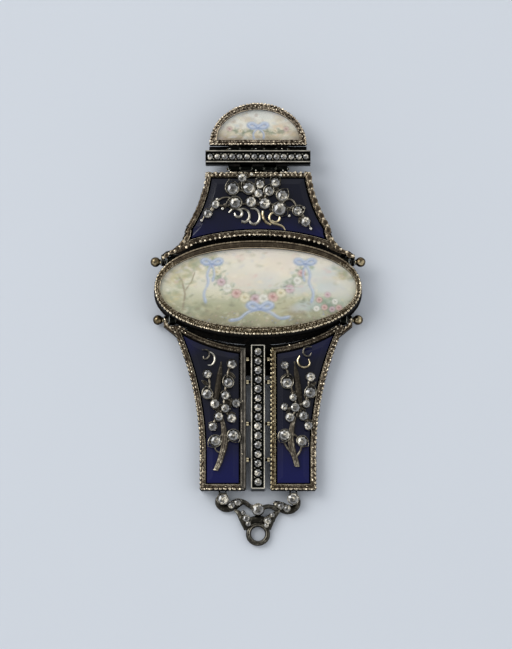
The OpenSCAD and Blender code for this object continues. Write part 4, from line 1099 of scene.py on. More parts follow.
def posy(canvas):
    """Picture of the crest: a ribbon bow between two sprigs on mottled cream."""
    draw = random.Random(9)
    y = CREST_WINDOW_Y + 3.2
    tones = ["#8F7C5A", "#CFC2A0", "#E8E0C8", "#EFEADA", "#EAE6DA", "#DAD8CC"]
    ground(canvas, CREST_WINDOW_Y, CREST_WINDOW_Y + 8, tones)
    for count, (left, right, low, high), size, codes, strength in (
        (44, (-10, 10, -3.4, 4.2), 2.4, ("#F2ECDA", "#D6C3A2", "#D9C9C4", "#E9DCB8", "#D5DAD2", "#C2A983"), 0.26),
        (12, (4, 10, -2.6, 1.6), 2.0, ("#CFA878", "#E3C69A", "#B99A72"), 0.26),
        (120, (-10, 10, -3.2, 4.2), 0, ("#FAF4E4", "#CDB894", "#D8CCC8", "#EFE2BE", "#A98A60", "#C6D0CE"), 0.36),
    ):
        dabs(canvas, draw, count, (left, right, y + low, y + high), size, codes, strength)
    for side in (-1, 1):
        sprig = [(1.2 * side, y - 0.6), (3.8 * side, y - 1.2), (7.0 * side, y - 0.3)]
        stroke(canvas, sprig, 0.24, "#8A8F6C", 0.4)
        for place in spaced(sprig, 5):
            leaves(canvas, place[0], place[1], 0.9, 5, ["#8A9470", "#A7AD88", "#6F7C5C"], draw)
        rose(canvas, 7.1 * side, y - 0.2, 0.85, "#A9766C", "#E6C8BC")
        rose(canvas, 4.4 * side, y - 0.7, 0.7, "#C2A878", "#F2E8CC")
    ribbon(canvas, [(0, y), (-1.3, y - 1.3), (-1.0, y - 2.6)], 0.42)
    ribbon(canvas, [(0, y), (1.5, y - 1.2), (1.4, y - 2.5)], 0.42)
    bow(canvas, 0, y + 0.3, 1.75)


def plaque(name, loops, low, high, picture):
    """Card plate with a close net of points on its face, painted."""
    rows = [level(loops[0], low)] + [level(loop, high) for loop in loops]
    piece = sweep(name, rows)
    count = len(piece.data.vertices)
    places = np.empty(count * 3, np.float32)
    piece.data.vertices.foreach_get("co", places)
    places = places.reshape(-1, 3)[:, :2].astype(float) / MM
    if picture is garden:
        places[:, 1] -= OVAL_Y
    shades = np.ones((count, 3))
    picture((places, shades))
    shades *= 1.05
    paint = piece.data.color_attributes.new("Paint", "FLOAT_COLOR", "POINT")
    rgba = np.hstack([np.clip(shades, 0, 1), np.ones((count, 1))])
    paint.data.foreach_set("color", rgba.astype(np.float32).ravel())
    return coat(piece, "painted_card")


# Patterns that are copied -----------------------------------------------------------------------------------


def ring(radius, z, count, turn=0.0):
    """Level circle of points."""
    return [
        (radius * math.cos(turn + math.tau * i / count), radius * math.sin(turn + math.tau * i / count), z)
        for i in range(count)
    ]


def rings(name, rows, count, finish, wide=1.0):
    """Low round body through level circles of a radius and a height, stretched along X."""
    loops = [[(wide * x, y, z) for x, y, z in ring(radius, height, count)] for radius, height in rows]
    return coat(sweep(name, loops), finish)


def stone_pattern():
    """Rose-cut stone of 1 mm radius on z = 0: girdle, two rows of facets and a table."""
    eighth = math.pi / 8
    loops = [ring(0.8, -0.3, 8), ring(1.0, 0.0, 8), ring(0.7, 0.36, 8, eighth), ring(0.32, 0.54, 8)]
    piece = sweep("stone_pattern", loops)
    activate(piece)
    bpy.ops.object.mode_set(mode="EDIT")
    bpy.ops.mesh.select_all(action="SELECT")
    bpy.ops.mesh.quads_convert_to_tris(quad_method="SHORTEST_DIAGONAL")
    bpy.ops.object.mode_set(mode="OBJECT")
    return coat(piece, "rose_cut_diamond")


def stones(places):
    """Stones at (x, y, z, radius), each with its own turn, lean and painted play of light over its facets."""
    made = copies(stone_pattern(), [
        put(x, y, z, r * DRAW.uniform(0.95, 1.05), r * 0.62,
            turn=DRAW.uniform(0, 1.5), tilt=DRAW.uniform(-0.1, 0.1))
        for x, y, z, r in places
    ])
    for piece in made:
        # Facets turned towards one way are painted bright as glints, the others painted dim as shade
        glint_turn, light = DRAW.uniform(0, math.tau), DRAW.uniform(0.16, 0.56)
        values = []
        for face in piece.data.polygons:
            normal = face.normal
            table = normal.z >= 0.97
            way = DRAW.uniform(-0.6, 0.9) if table else math.cos(math.atan2(normal.y, normal.x) - glint_turn)
            values.append(min(1, max(0, light + 0.42 * way + DRAW.uniform(-0.45, 0.45))))
        facet = piece.data.attributes.new("Facet", "FLOAT", "FACE")
        facet.data.foreach_set("value", values)
    return made


def collet_pattern(finish):
    """Collet of 1 mm radius and 1 mm height with a rim of eight cut grains."""
    points = 24
    wave = [0.5 - 0.5 * math.cos(math.tau * i / 3) for i in range(points)]
    rows = (
        (0.8, 0, 0), (0.9, 0.22, 0), (1.0, 0.7, 0), (1.0, 0.9, 0.1), (0.95, 1.0, 0.16), (0.89, 0.96, 0.1),
        (0.84, 0.66, 0),
    )
    loops = [
        [(x, y, z - fall * w) for (x, y, z), w in zip(ring(radius, height, points), wave)]
        for radius, height, fall in rows
    ]
    return coat(sweep("collet_pattern", loops), finish)


def grain_pattern(finish):
    """Small raised grain of metal of 1 mm radius."""
    return rings("grain_pattern", ((1.0, -0.6), (1.0, 0.1), (0.75, 0.65), (0.3, 0.9)), 7, finish)


def chip_pattern():
    """Tiny raised facet of 1 mm radius, left by the graver."""
    return rings("chip_pattern", ((1.0, -0.5), (1.0, 0.0), (0.4, 0.45)), 5, "cut_gilt")


def scallop_pattern():
    """Long low lobe, 2.6 mm by 2 mm, with a facet cut on its back."""
    rows = ((1.0, -0.4), (1.02, 0.1), (0.9, 0.28), (0.68, 0.36), (0.36, 0.4), (0.12, 0.4))
    return rings("scallop_pattern", rows, 14, "lobe_silver", wide=1.3)


def set_stones(places, finish, base, high):
    """Collets with their stones: places hold (x, y, radius)."""
    made = copies(collet_pattern(finish), [put(x, y, base, r, high, turn=x) for x, y, r in places])
    return made + stones([(x, y, base + high - STONE_SUNK, r * STONE_SHARE) for x, y, r in places])


def scalloped(path, size, z, sharp=1.0):
    """Lobes along an open line, with a bright cut at the outer end of each gap between two of them."""
    count = round(sum(math.dist(a, b) for a, b in zip(path, path[1:])) / (2.9 * size))
    places = spaced(path, count)
    lobes, cuts = [], []
    for (ax, ay), (bx, by) in zip(places, places[1:]):
        way = math.atan2(by - ay, bx - ax)
        lobes.append(put((ax + bx) / 2, (ay + by) / 2, z, size * DRAW.uniform(0.9, 1.08), size, turn=way))
        grow = size * sharp * DRAW.uniform(0.5, 0.85)
        side = 0.42 * size * (1 if bx + ax > 0 else -1)
        x, y = bx + side * abs(math.sin(way)), by + side * 0.4
        cuts.append(put(x, y, z + 0.16, grow, grow, turn=way + 0.6, tilt=0.5))
    return copies(scallop_pattern(), lobes) + copies(chip_pattern(), cuts)


def chips(outline, z, count, size, keep):
    """Bright cut facets along a closed outline; keep(x, y) is how likely and how large one is."""
    spots = []
    for x, y in spaced(outline + outline[:1], count)[:-1]:
        share = keep(x, y)
        if DRAW.random() < 0.72 * share:
            grow = size * DRAW.uniform(0.55, 1.15) * (0.6 + 0.4 * share)
            spots.append(put(x, y, z, grow, grow, turn=DRAW.uniform(0, 6), tilt=DRAW.uniform(-0.7, 0.7)))
    return copies(chip_pattern(), spots)


def bright_dots(places):
    """Small polished rivet heads at (x, y, z)."""
    return copies(grain_pattern("polished_silver"), [put(x, y, z, 0.26, 0.3) for x, y, z in places])


def rails(corners, top, ends=True):
    """Thin bright lips round the top of a bar between two corners."""
    (ax, ay), (bx, by) = corners
    ax, ay, bx, by, z = ax + 0.1, ay + 0.1, bx - 0.1, by - 0.1, top - 0.06
    runs = [[(ax, ay), (bx, ay)], [(ax, by), (bx, by)]]
    if ends:
        runs += [[(ax, ay), (ax, by)], [(bx, ay), (bx, by)]]
    return [coat(wire("rail", [(x, y, z, 1.0) for x, y in run], 0.3), "bright_silver") for run in runs]


def leafy(places, stems, z):
    """Pointed leaves that grow out of the stems between two collets, on alternate sides."""
    outline = []
    for i in range(12):
        t = math.tau * i / 12
        outline.append((math.cos(t), 0.5 * math.sin(t) * (1 - 0.35 * abs(math.cos(t)) ** 2)))
    rows = ((0.92, 0.9, 0), (1.0, 1.0, 0.12), (0.98, 0.92, 0.24), (0.86, 0.45, 0.27), (0.8, 0.12, 0.36))
    leaf = sweep("leaf_pattern", [[(x * long, y * wide, rise) for x, y in outline] for long, wide, rise in rows])
    spots = []
    for k, (a, b) in enumerate(stems):
        (ax, ay), (bx, by) = places[a][:2], places[b][:2]
        way = math.atan2(by - ay, bx - ax) + (0.95 if k % 2 else -0.95)
        share = DRAW.uniform(0.35, 0.65)
        x, y = ax + (bx - ax) * share + 0.75 * math.cos(way), ay + (by - ay) * share + 0.75 * math.sin(way)
        spots.append(put(x, y, z, DRAW.uniform(0.85, 1.15), 1.0, turn=way))
    return copies(coat(leaf, "bark_silver"), spots)


def petals(places, turns, z):
    """Wires bent round collets to a point, like the rim of a leaf: turns hold (collet, angle)."""
    made = []
    for index, angle in turns:
        x, y, radius = places[index]
        points = []
        for k in range(13):
            share = k / 12
            turn = angle + math.pi * (2 * share - 1)
            reach = radius * (1.0 + 0.5 * (1 - abs(math.sin(math.pi * share))) ** 3)
            points.append((x + reach * math.cos(turn + math.pi), y + reach * math.sin(turn + math.pi), z, 1.0))
        made.append(coat(wire("petal", points, 0.26), "leaf_silver"))
    return made


def stem(points, z, thickness, finish, shares=None):
    """Stem through plan points, lying on its plate."""
    shares = shares or [1.0] * len(points)
    return coat(wire("stem", [(x, y, z, s) for (x, y), s in zip(points, shares)], thickness, flat=0.85), finish)


def stems_between(places, pairs, z, thickness):
    """Slightly bent stems between pairs of collets."""
    made = []
    for a, b in pairs:
        (ax, ay), (bx, by) = places[a][:2], places[b][:2]
        middle = ((ax + bx) / 2 - (by - ay) * 0.12, (ay + by) / 2 + (bx - ax) * 0.12)
        made.append(stem([(ax, ay), middle, (bx, by)], z, thickness, "bark_silver"))
    return made


def cut_plate(name, outline, low, high, edge, segments=2):
    """Flat piece cut to an outline, with softened edges."""
    return soften(sweep(name, [level(outline, low), level(outline, high)]), edge, segments)


def shrunk(points, hub, share):
    """Plan points drawn towards a hub."""
    return [(hub[0] + (x - hub[0]) * share, hub[1] + (y - hub[1]) * share) for x, y in points]


def crystal(name, rim, shoulder, edge, hub, shares, heights):
    """Domed glass: heights are those of its foot, its wall's top, its shoulder, its edge, and the dome's rise."""
    foot, wall, lip, crown, rise = heights
    loops = [level(rim, foot), level(rim, wall), level(shoulder, lip)]
    loops += [level(shrunk(edge, hub, k), crown + rise * (1 - k * k)) for k in shares]
    return coat(sweep(name, loops), "watch_glass")


# Operators --------------------------------------------------------------------------------------------------


def slot_below(x):
    """Width of the slot between the oval and the top edges of the lower plates, near the middle."""
    if abs(x) > 20:
        return 0.0
    return oval_foot(x) - TOP_ARCH[0][1] + math.sqrt(TOP_ARCH[1] ** 2 - x * x)


def oval_foot(x):
    """Height along the chain of the oval's lower edge."""
    return OVAL_Y - OVAL[1] * math.sqrt(1 - (x / OVAL[0]) ** 2)


def oval_chasing(x, y):
    """How strong the chasing of the oval's rim is: full below and at its ends, faint along its top."""
    return min(1.0, max(0.18, (OVAL_Y + 6.5 - y) / 5))


def oval_lip(count):
    """Black lip round the foot of the case, which closes the slots beside it and paints shade in them."""
    edge, rises = [], []
    for (x, y), (u, v) in zip(oval_line(0, count), oval_line(1, count)):
        if y > OVAL_Y:
            reach = max(0.04, min(2.1 + min(0.4, max(0, abs(x) - 7) * 0.2), (22.8 - abs(x)) * 0.9))
            rise = min(1.45, max(0, abs(x) - 9.5) * 0.17)
        else:
            reach = max(0.04, 0.45 * slot_below(x) * min(1, max(0, (18.5 - abs(x)) / 2)))
            rise = 0.0
        edge.append((x + (x - u) * reach, y + (y - v) * reach))
        rises.append(rise)
    inner = oval_line(0.6, count)
    return coat(sweep("back_lip", [
        [(x, y, z + rise) for (x, y), rise in zip(path, rises)]
        for path, z in ((inner, 0.04), (edge, 0.1), (edge, 0.42), (inner, 0.5))
    ]), "black_tarnish")


class CHATELAINE_OT_oval(Operator):
    """Models the oval case with its painted plaque and domed glass"""

    bl_idname = "chatelaine.oval"
    bl_label = "Oval"

    def execute(self, context):
        count = round(OVAL_ROUND / (sizes().fine_pitch / MM)) * SAMPLES
        groove = [g * oval_chasing(x, y) for g, (x, y) in zip(grooves([count]), oval_line(0, count))]
        case = framed(
            "oval_case", lambda inset: oval_line(inset, count), oval_window(count), (0, OVAL_T, 4.6), groove,
            sizes().groove / MM * 0.8, ("chased_silver", "lobe_silver"), chased=0.8, calm=oval_chasing)
        for face in case.data.polygons:
            if face.material_index == 0 and face.center.y > (OVAL_Y + 6.4) * MM:
                face.material_index = 2
        parts = [case]
        for side in (-1, 1):
            for axis, ear in ((UPPER_AXIS, UPPER_EAR[0]), (LOWER_AXIS, LOWER_EAR[0])):
                lug = barrel("lug", 1.3, side * 20.4, side * (ear - 0.2), axis, edge=0.2)
                parts.append(coat(lug, "oxidised_silver"))
        parts += chips(
            oval_line(RIM_LINES[0], count), OVAL_T - 0.16, 124, 0.24, lambda x, y: 1.1 * oval_chasing(x, y) ** 2)
        settle(fuse("oval_case", parts + [oval_lip(count)]), "oval", "darkened_silver", "oval_frame")

        a, b = OVAL_WINDOW[0] + 0.25, OVAL_WINDOW[1] + 0.25
        turns = [math.tau * i / 400 for i in range(400)]
        loops = [
            [((a - b * s) * math.cos(t), OVAL_Y + b * (1 - s) * math.sin(t)) for t in turns]
            for s in (0.985 * k / 50 for k in range(51))
        ]
        settle(plaque("oval_picture", loops, 4.45, 5.6, garden), "oval", "painted_plaque", "oval_miniature")
        shares = (1, 0.97, 0.92, 0.85, 0.75, 0.62, 0.48, 0.33, 0.18, 0.05)
        glass = crystal(
            "oval_crystal", oval_window(200, 0.15), oval_window(200, -0.05), oval_window(200, -0.06), (0, OVAL_Y),
            shares, (5.66, 6.0, 6.02, 6.3, 1.08))
        settle(glass, "oval", "clear_glass", "oval_glass", angle=60)
        return {"FINISHED"}


class CHATELAINE_OT_crest(Operator):
    """Models the half-round crest with its painted plaque, glass and hinge knuckles"""

    bl_idname = "chatelaine.crest"
    bl_label = "Crest"

    def execute(self, context):
        counts = lobe_counts(crest_sides, [sizes().fine_pitch / MM] * 2)
        parts = [framed(
            "crest_case", lambda inset: joined(crest_sides(inset, counts)), joined(crest_window(0, counts)),
            (LIFT, FRONT, 4.4), grooves(counts), sizes().groove / MM * 0.85, ("punched_gilt",), chased=1.0)]
        parts += bright_dots([(x, 44.3, 5.4) for x in (-7, -0.5, 6)])
        for inset, number in zip(FINE_LINES, (76, 50)):
            parts += chips(joined(crest_sides(inset, counts)), FRONT - 0.12, number, 0.24, lambda x, y: 0.9)
        # Black ledge under the crest's straight edge: painted shade in the gap above the bar
        parts.append(coat(block("crest_ledge", (-12.2, 44.08, 3.45), (12.2, 45.2, 4.12), 0.08), "black_tarnish"))
        parts += knuckles(0, 0.605, CREST_AXIS, 1)
        settle(fuse("crest_case", parts), "crest", "darkened_silver", "crest_frame")

        window = joined(crest_window(0.2, [120, 150]))
        hub = (0, CREST_WINDOW_Y + CREST_WINDOW[1] * 0.4)
        loops = [shrunk(window, hub, 1 - 0.98 * i / 40) for i in range(41)]
        settle(plaque("crest_picture", loops, 4.25, 5.35, posy), "crest", "painted_plaque", "crest_miniature")
        rim, inner = (joined(crest_window(grow, [40, 70])) for grow in (0.12, -0.05))
        shares = (1, 0.96, 0.9, 0.8, 0.66, 0.5, 0.32, 0.15, 0.04)
        glass = crystal("crest_crystal", rim, inner, inner, hub, shares, (5.41, 5.8, 5.82, 6.1, 0.68))
        settle(glass, "crest", "clear_glass", "crest_glass", angle=60)
        return {"FINISHED"}


def knuckles(first, radius, axis, reach):
    """Every second knuckle of a row of five, each with the web that joins it to its plate, black as painted shade."""
    made = []
    low, high = axis[1] - radius * 0.78, axis[1] + radius * 0.78
    near, far = sorted((axis[0], axis[0] + reach))
    for k in range(first, 5, 2):
        start = -7.5 + 3 * k + 0.06
        end = start + 2.88
        made.append(coat(barrel("knuckle", radius, start, end, axis), "oxidised_silver"))
        made.append(coat(block("web", (start, near, low), (end, far, high), 0.05), "black_tarnish"))
    return made


class CHATELAINE_OT_belt_hook(Operator):
    """Gives the plain belt hook its finish"""

    bl_idname = "chatelaine.belt_hook"
    bl_label = "Belt hook"

    def execute(self, context):
        back_z, tongue_z, half, bend_y, thick = 2.9, 0.45, 5.5, 52.645, 0.44
        radius = (back_z - tongue_z) / 2
        turns = [math.pi / 2 - math.pi * i / 12 for i in range(13)]
        middle = [(46.545, back_z)]
        middle += [(bend_y + radius * math.cos(t), tongue_z + radius + radius * math.sin(t)) for t in turns]
        middle += [(32.845, tongue_z), (26.945, 2.646), (23.245, tongue_z)]
        outer, inner = [], []
        for i, (y, z) in enumerate(middle):
            (ya, za), (yb, zb) = middle[max(i - 1, 0)], middle[min(i + 1, len(middle) - 1)]
            size = math.hypot(yb - ya, zb - za)
            ny, nz = -(zb - za) / size * thick, (yb - ya) / size * thick
            outer.append((y + ny, z + nz))
            inner.append((y - ny, z - nz))
        section = outer + inner[::-1]
        strip = sweep("belt_hook_strip", [[(x, y, z) for y, z in section] for x in (-half, half)])
        settle(coat(soften(strip, 0.12), "aged_silver"), "crest", "darkened_silver", "belt_hook")
        return {"FINISHED"}


def row_of_stones(places, size, high, across):
    """Stones in a channel with a pair of grains between neighbours; across turns the row along Y."""
    made = stones([(x, y, high - 0.14, size) for x, y in places])
    spots = []
    for (ax, ay), (bx, by) in zip(places, places[1:]):
        x, y = (ax + bx) / 2, (ay + by) / 2
        for reach in (-size * 0.86, size * 0.86):
            spots.append(put(*((x + reach, y) if across else (x, y + reach)), high - 0.08, 0.2, 0.2))
    return made + copies(grain_pattern("aged_spray"), spots)


def channel_bar(name, low, high, wall, depth):
    """Bar with a sunk channel in its top."""
    bar = block(name, low, high, 0.06)
    activate(bar)
    bpy.ops.object.mode_set(mode="EDIT")
    mesh = bmesh.from_edit_mesh(bar.data)
    for face in mesh.faces:
        face.select = face.normal.z > 0.99
    mesh.select_flush_mode()
    bmesh.update_edit_mesh(bar.data)
    bpy.ops.mesh.inset(thickness=wall * MM, depth=0)
    bpy.ops.mesh.inset(thickness=0.05 * MM, depth=-depth * MM)
    bpy.ops.object.mode_set(mode="OBJECT")
    return coat(bar, "oxidised_silver")


class CHATELAINE_OT_upper_bar(Operator):
    """Models the upper bar with its stones, ledge and knuckles"""

    bl_idname = "chatelaine.upper_bar"
    bl_label = "Upper bar"

    def execute(self, context):
        (left, low), (right, high) = BAR
        parts = [
            coat(block("bar_base", (left, low, 3.4), (right, high, 4.95), 0.12), "oxidised_silver"),
            channel_bar("bar_tier", (left, BAR_TIER_Y, 4.9), (right, high, BAR_FRONT), 0.16, 0.35),
            coat(block("bar_ledge", (-13.1, 40.32, 4.9), (13.1, 40.56, 5.25), 0.08), "oxidised_silver"),
        ]
        parts += knuckles(0, 0.745, BAR_AXIS, 1.1) + knuckles(1, 0.605, CREST_AXIS, -0.9)
        parts += rails(((left, BAR_TIER_Y), (right, high)), BAR_FRONT, ends=False)
        parts += bright_dots([(x, 38.75, 5.5) for x in (-7.2, -0.5, 6.3)])
        places = [(-12.03 + 24.06 * i / 13, 42.06) for i in range(14)]
        parts += row_of_stones(places, 0.76, BAR_FRONT - 0.12, False)
        bar = fuse("bar_with_stones", parts)
        settle(bar, "upper_bar", "darkened_silver", "upper_bar", "upper_bar_stones")
        return {"FINISHED"}


def notch_share(x, y):
    """How deep the notches of the upper panel are: shallow on its arch and its left side, deep near its feet."""
    if y < 23.5 and y > ARCH[0][1] + math.sqrt(ARCH[1] ** 2 - x * x) + 0.8:
        return 1.9
    if y < 24:
        return 0.9
    return 0.4 if x < -14 and y < 36 else 1.4


def rim_cuts(x, y):
    """Where the upper panel's rim has cut facets: not on its left side, its lobed right side and its feet."""
    return 0.0 if x < -13.8 and 23 < y < 36 or x > 12.9 and 21 < y < 37.4 or abs(x) > 18 else 1.25


def bezel_cuts(x, y):
    """Where its bezel has them: close along the top, few elsewhere, and none beyond the middle at the sides."""
    return 1.3 if y > 36.5 else 0.0 if abs(x) > 13 else 0.2


class CHATELAINE_OT_upper_panel(Operator):
    """Models the upper panel's frame, ears and enamel plate"""

    bl_idname = "chatelaine.upper_panel"
    bl_label = "Upper panel"

    def execute(self, context):
        pitch = sizes().panel_pitch / MM
        counts = lobe_counts(panel_sides, [pitch * 0.85, 1, pitch * 1.4, pitch * 1.2, pitch * 1.4, 1])
        groove = [
            g * min(1, max(0, (y - FOOT_Y - 0.6) / 1.5)) * notch_share(x, y)
            for g, (x, y) in zip(grooves(counts), joined(panel_sides(0, counts)))
        ]
        parts = [framed(
            "panel_case", lambda inset: joined(panel_sides(inset, counts)), joined(panel_sides(FRAME_W, counts)),
            (LIFT, FRONT, 4.3), groove, sizes().groove / MM)]
        strap = [
            (20.4, 16.9), (22.6, 16.9), (23.0, 16.5), (23.1, 15.4), (24.2, 15.4), (24.2, 16.3), (23.8, 17.2),
            (22.9, 17.9), (21.7, 18.2), (20.4, 18.2),
        ]
        for side in (-1, 1):
            low, high = sorted((side * UPPER_EAR[0], side * UPPER_EAR[1]))
            parts += [coat(part, "oxidised_silver") for part in (
                barrel("ear", 1.0, low, high, UPPER_AXIS, edge=0.15),
                block("arm", (low, UPPER_AXIS[0], 4.1), (high, 17.2, 5.7), 0.15),
                cut_plate("foot_strap", [(side * x, y) for x, y in strap], 4.1, 6.1, 0.15),
            )]
        for start, side in (((17.1, 22.3), 1), ((-17.4, 21.9), -1)):
            parts += scalloped([start] + [(side * x, y) for x, y in FOOT_LINE], 0.6, FRONT - 0.3, 1.3)
        right = [p for p in panel_sides(0.62, counts)[2] if 22.3 < p[1] < 38]
        parts += scalloped(right, 0.72, FRONT - 0.2, 1.0)
        for inset, number, size, keep in zip(RIM_LINES, (92, 96), (0.36, 0.3), (rim_cuts, bezel_cuts)):
            parts += chips(joined(panel_sides(inset, counts)), FRONT - 0.14, number, size, keep)
        parts += knuckles(1, 0.745, BAR_AXIS, -1.2)
        settle(fuse("panel_case", parts), "upper_panel", "darkened_silver", "upper_frame")
        plate = enamel_plate("panel_plate", panel_sides, 4.25, FRONT)
        settle(plate, "upper_panel", "cobalt_enamel", "upper_enamel", angle=9)
        return {"FINISHED"}


def enamel_plate(name, sides_of, low, front):
    """Enamel plate with a bevelled edge, set in its frame, with a black step between the two as painted shade."""
    counts = lobe_counts(sides_of, [1.0] * 6)
    bevel = sizes().bevel / MM
    rows = [
        (1.4, low), (1.4, front - 1.2), (1.5, front - 1.12), (1.78, front - 1.0), (1.84, front - 0.43),
        (1.9, front - 0.34), (1.45 + bevel * 0.95, front - 0.13), (1.45 + bevel, front - 0.11),
        (1.45 + bevel * 1.1, front - 0.1),
    ]
    loops = [level(joined(sides_of(inset, counts)), z) for inset, z in rows]
    piece = coat(sweep(name, loops), "fired_cobalt", "black_tarnish")
    # The steep step under the bevel is black: painted shade at the frame's inner edge
    for face in piece.data.polygons:
        if low * MM < face.center.z < (front - 0.96) * MM:
            face.material_index = 1
    return piece


class CHATELAINE_OT_bouquet(Operator):
    """Models the upper spray with its stones, stems and curls"""

    bl_idname = "chatelaine.bouquet"
    bl_label = "Bouquet"

    def execute(self, context):
        base, mid = FRONT + SEAT, FRONT + SEAT + 0.32
        places = [
            (x * FOOT_OUT, FOOT_Y + y * (PANEL_TOP - FOOT_Y), size * COLLET_R) for x, y, size in BOUQUET
        ]
        thick = sizes().wire / MM
        parts = stems_between(places, BOUQUET_STEMS, mid, thick)
        for index in (8, 13, 14, 15):
            x, y, _ = places[index]
            way = 1 if x > 0 else -1
            tip = [(x, y), (x + way * 0.9, y - 0.9), (x + way * 1.4, y - 2.1)]
            parts.append(stem(tip, mid, thick * 0.8, "bark_silver", [1, 0.8, 0.4]))
        parts += [stem(points, mid + 0.2, thick * 0.8, "bark_silver") for points in LOOSE_STEMS]
        turns = ((1, 1.9), (2, 2.4), (7, 0.9), (9, 3.4), (12, -0.6), (14, 0.4), (6, 1.3))
        parts += petals(places, turns, base + 0.72)
        for index, w in ((0, 0.95), (3, 1.0), (4, 1.15)):
            x, y, _ = places[index]
            clasp = [(-w, -0.7), (-w, 1.25), (-w * 0.7, 1.5), (w * 0.7, 1.5), (w, 1.25), (w, -0.7)]
            parts.append(stem([(x + dx, y + dy) for dx, dy in clasp], base + 0.7, 0.26, "leaf_silver"))
        swell = [0.5, 0.85, 1.0, 1.0, 1.0, 0.9, 0.7]
        parts += [stem(points, mid + 0.1, thick * 1.25, "polished_silver", swell) for points in SILVER_CURLS]
        swells = ([0.7, 1.0, 1.0, 0.7], [0.8] * 11 + [0.4])
        for points, rise, share, swell in zip(GOLD_CURLS, (0.1, 0.16), (1.25, 1.15), swells):
            parts.append(stem(points, mid + rise, thick * share, "worn_gilt", swell))
        parts += copies(grain_pattern("polished_silver"), [put(x, y, base + 0.3, 0.42, 0.5) for x, y in BEADS])
        parts += leafy(places, BOUQUET_STEMS, base)
        spray = fuse("bouquet", parts + set_stones(places, "aged_spray", base, COLLET_H))
        nodes = [f"upper_spray_stone_{i:02d}" for i in range(1, 17)]
        settle(spray, "upper_panel", "spray_silver", "upper_spray", *nodes, angle=32)
        return {"FINISHED"}


def mirrored(piece):
    """Turns a right-hand shape into its left-hand one."""
    piece.data.transform(Matrix.Diagonal((-1, 1, 1, 1)))
    piece.data.flip_normals()
    return piece


def back_strap():
    """Black strap behind the top of the lower plates and the head of the narrow bar, which paints shade in the gaps.
    """
    high, low = [], []
    for k in range(41):
        x = -16.6 + 33.2 * k / 40
        high.append((x, oval_foot(x) - 0.45 * slot_below(x) - 0.32))
        arch = TOP_ARCH[0][1] - math.sqrt(TOP_ARCH[1] ** 2 - x * x) + 0.02
        low.append((x, max(-5.3 if abs(x) < 2.9 else -9, arch)))
    strap = coat(cut_plate("back_strap", low + high[::-1], 0.03, 0.5, 0.05, 1), "black_tarnish")
    # Black sheet under the slots beside the narrow bar's head: painted shade
    slot_back = coat(block("slot_back", (-3.3, -12.6, 0.05), (3.3, -4.7, 0.42), 0.05), "black_tarnish")
    return fuse("back_strap", [strap, slot_back])


def plate_rim_cuts(x, y):
    """Where a lower plate's rim has cut facets: few along its top edge, none on its inner side."""
    return 0.0 if x < INNER_X + 1 else 0.35 if y > -9 and x < 18 else 1.0


def plate_bezel_cuts(x, y):
    """Where its bezel has them: close along its outer side, few elsewhere."""
    return 0.9 if x > OUTER_X - 1.2 and not (y > -9 and x < 18) else 0.12


class CHATELAINE_OT_lower_plates(Operator):
    """Models the two lower frames with their forks, ears and enamel plates"""

    bl_idname = "chatelaine.lower_plates"
    bl_label = "Lower plates"

    def execute(self, context):
        settle(back_strap(), "lower_plates", "darkened_silver")
        pitch = sizes().panel_pitch / MM * 0.9
        bracket = [(20.3, -3.2), (23.55, -0.5), (23.55, 1.295), (22.52, 1.295), (22.52, -0.4), (20.3, -0.5)]
        for side, plain, border in (("left", (4, 5), "plain_silver"), ("right", (4,), "worn_gilt")):
            counts = lobe_counts(lower_sides, [pitch] * 6)
            case = framed(
                side + "_case", lambda inset: joined(lower_sides(inset, counts)),
                joined(lower_sides(FRAME_W, counts)), (0, LOWER_T, 0.9), grooves(counts, plain=plain),
                sizes().groove / MM, ("aged_silver", border))
            for face in case.data.polygons:
                if face.material_index == 0 and face.center.x < (INNER_X + 1.45) * MM:
                    face.material_index = 2
            parts = [case]
            for inset, number, size, keep in zip(
                    FINE_LINES, (86, 100), (0.3, 0.24), (plate_rim_cuts, plate_bezel_cuts)):
                parts += chips(joined(lower_sides(inset, counts)), LOWER_T - 0.14, number, size, keep)
            parts.append(coat(cut_plate("bracket", bracket, 0.9, 2.5, 0.12), "aged_silver"))
            dark = [barrel("ear", 1.0, *LOWER_EAR, LOWER_AXIS, edge=0.15)]
            for x in (HEAD_X - 0.77, HEAD_X + 0.77):
                dark.append(barrel("fork", 0.52, x - 0.21, x + 0.21, DROP_AXIS, edge=0.05))
                dark.append(block("fork_web", (x - 0.21, DROP_AXIS[0], 0.58), (x + 0.21, -42.2, 1.42), 0.05))
            parts += [coat(part, "oxidised_silver") for part in dark]
            parts += scalloped(EAR_LINE, 0.42, 2.5, 1.3)
            case = fuse(side + "_case", parts)
            plate = enamel_plate(side + "_plate", lower_sides, 0.85, LOWER_T)
            if side == "left":
                mirrored(case)
                mirrored(plate)
            settle(case, "lower_plates", "darkened_silver", side + "_frame")
            settle(plate, "lower_plates", "cobalt_enamel", side + "_enamel", angle=9)
        return {"FINISHED"}


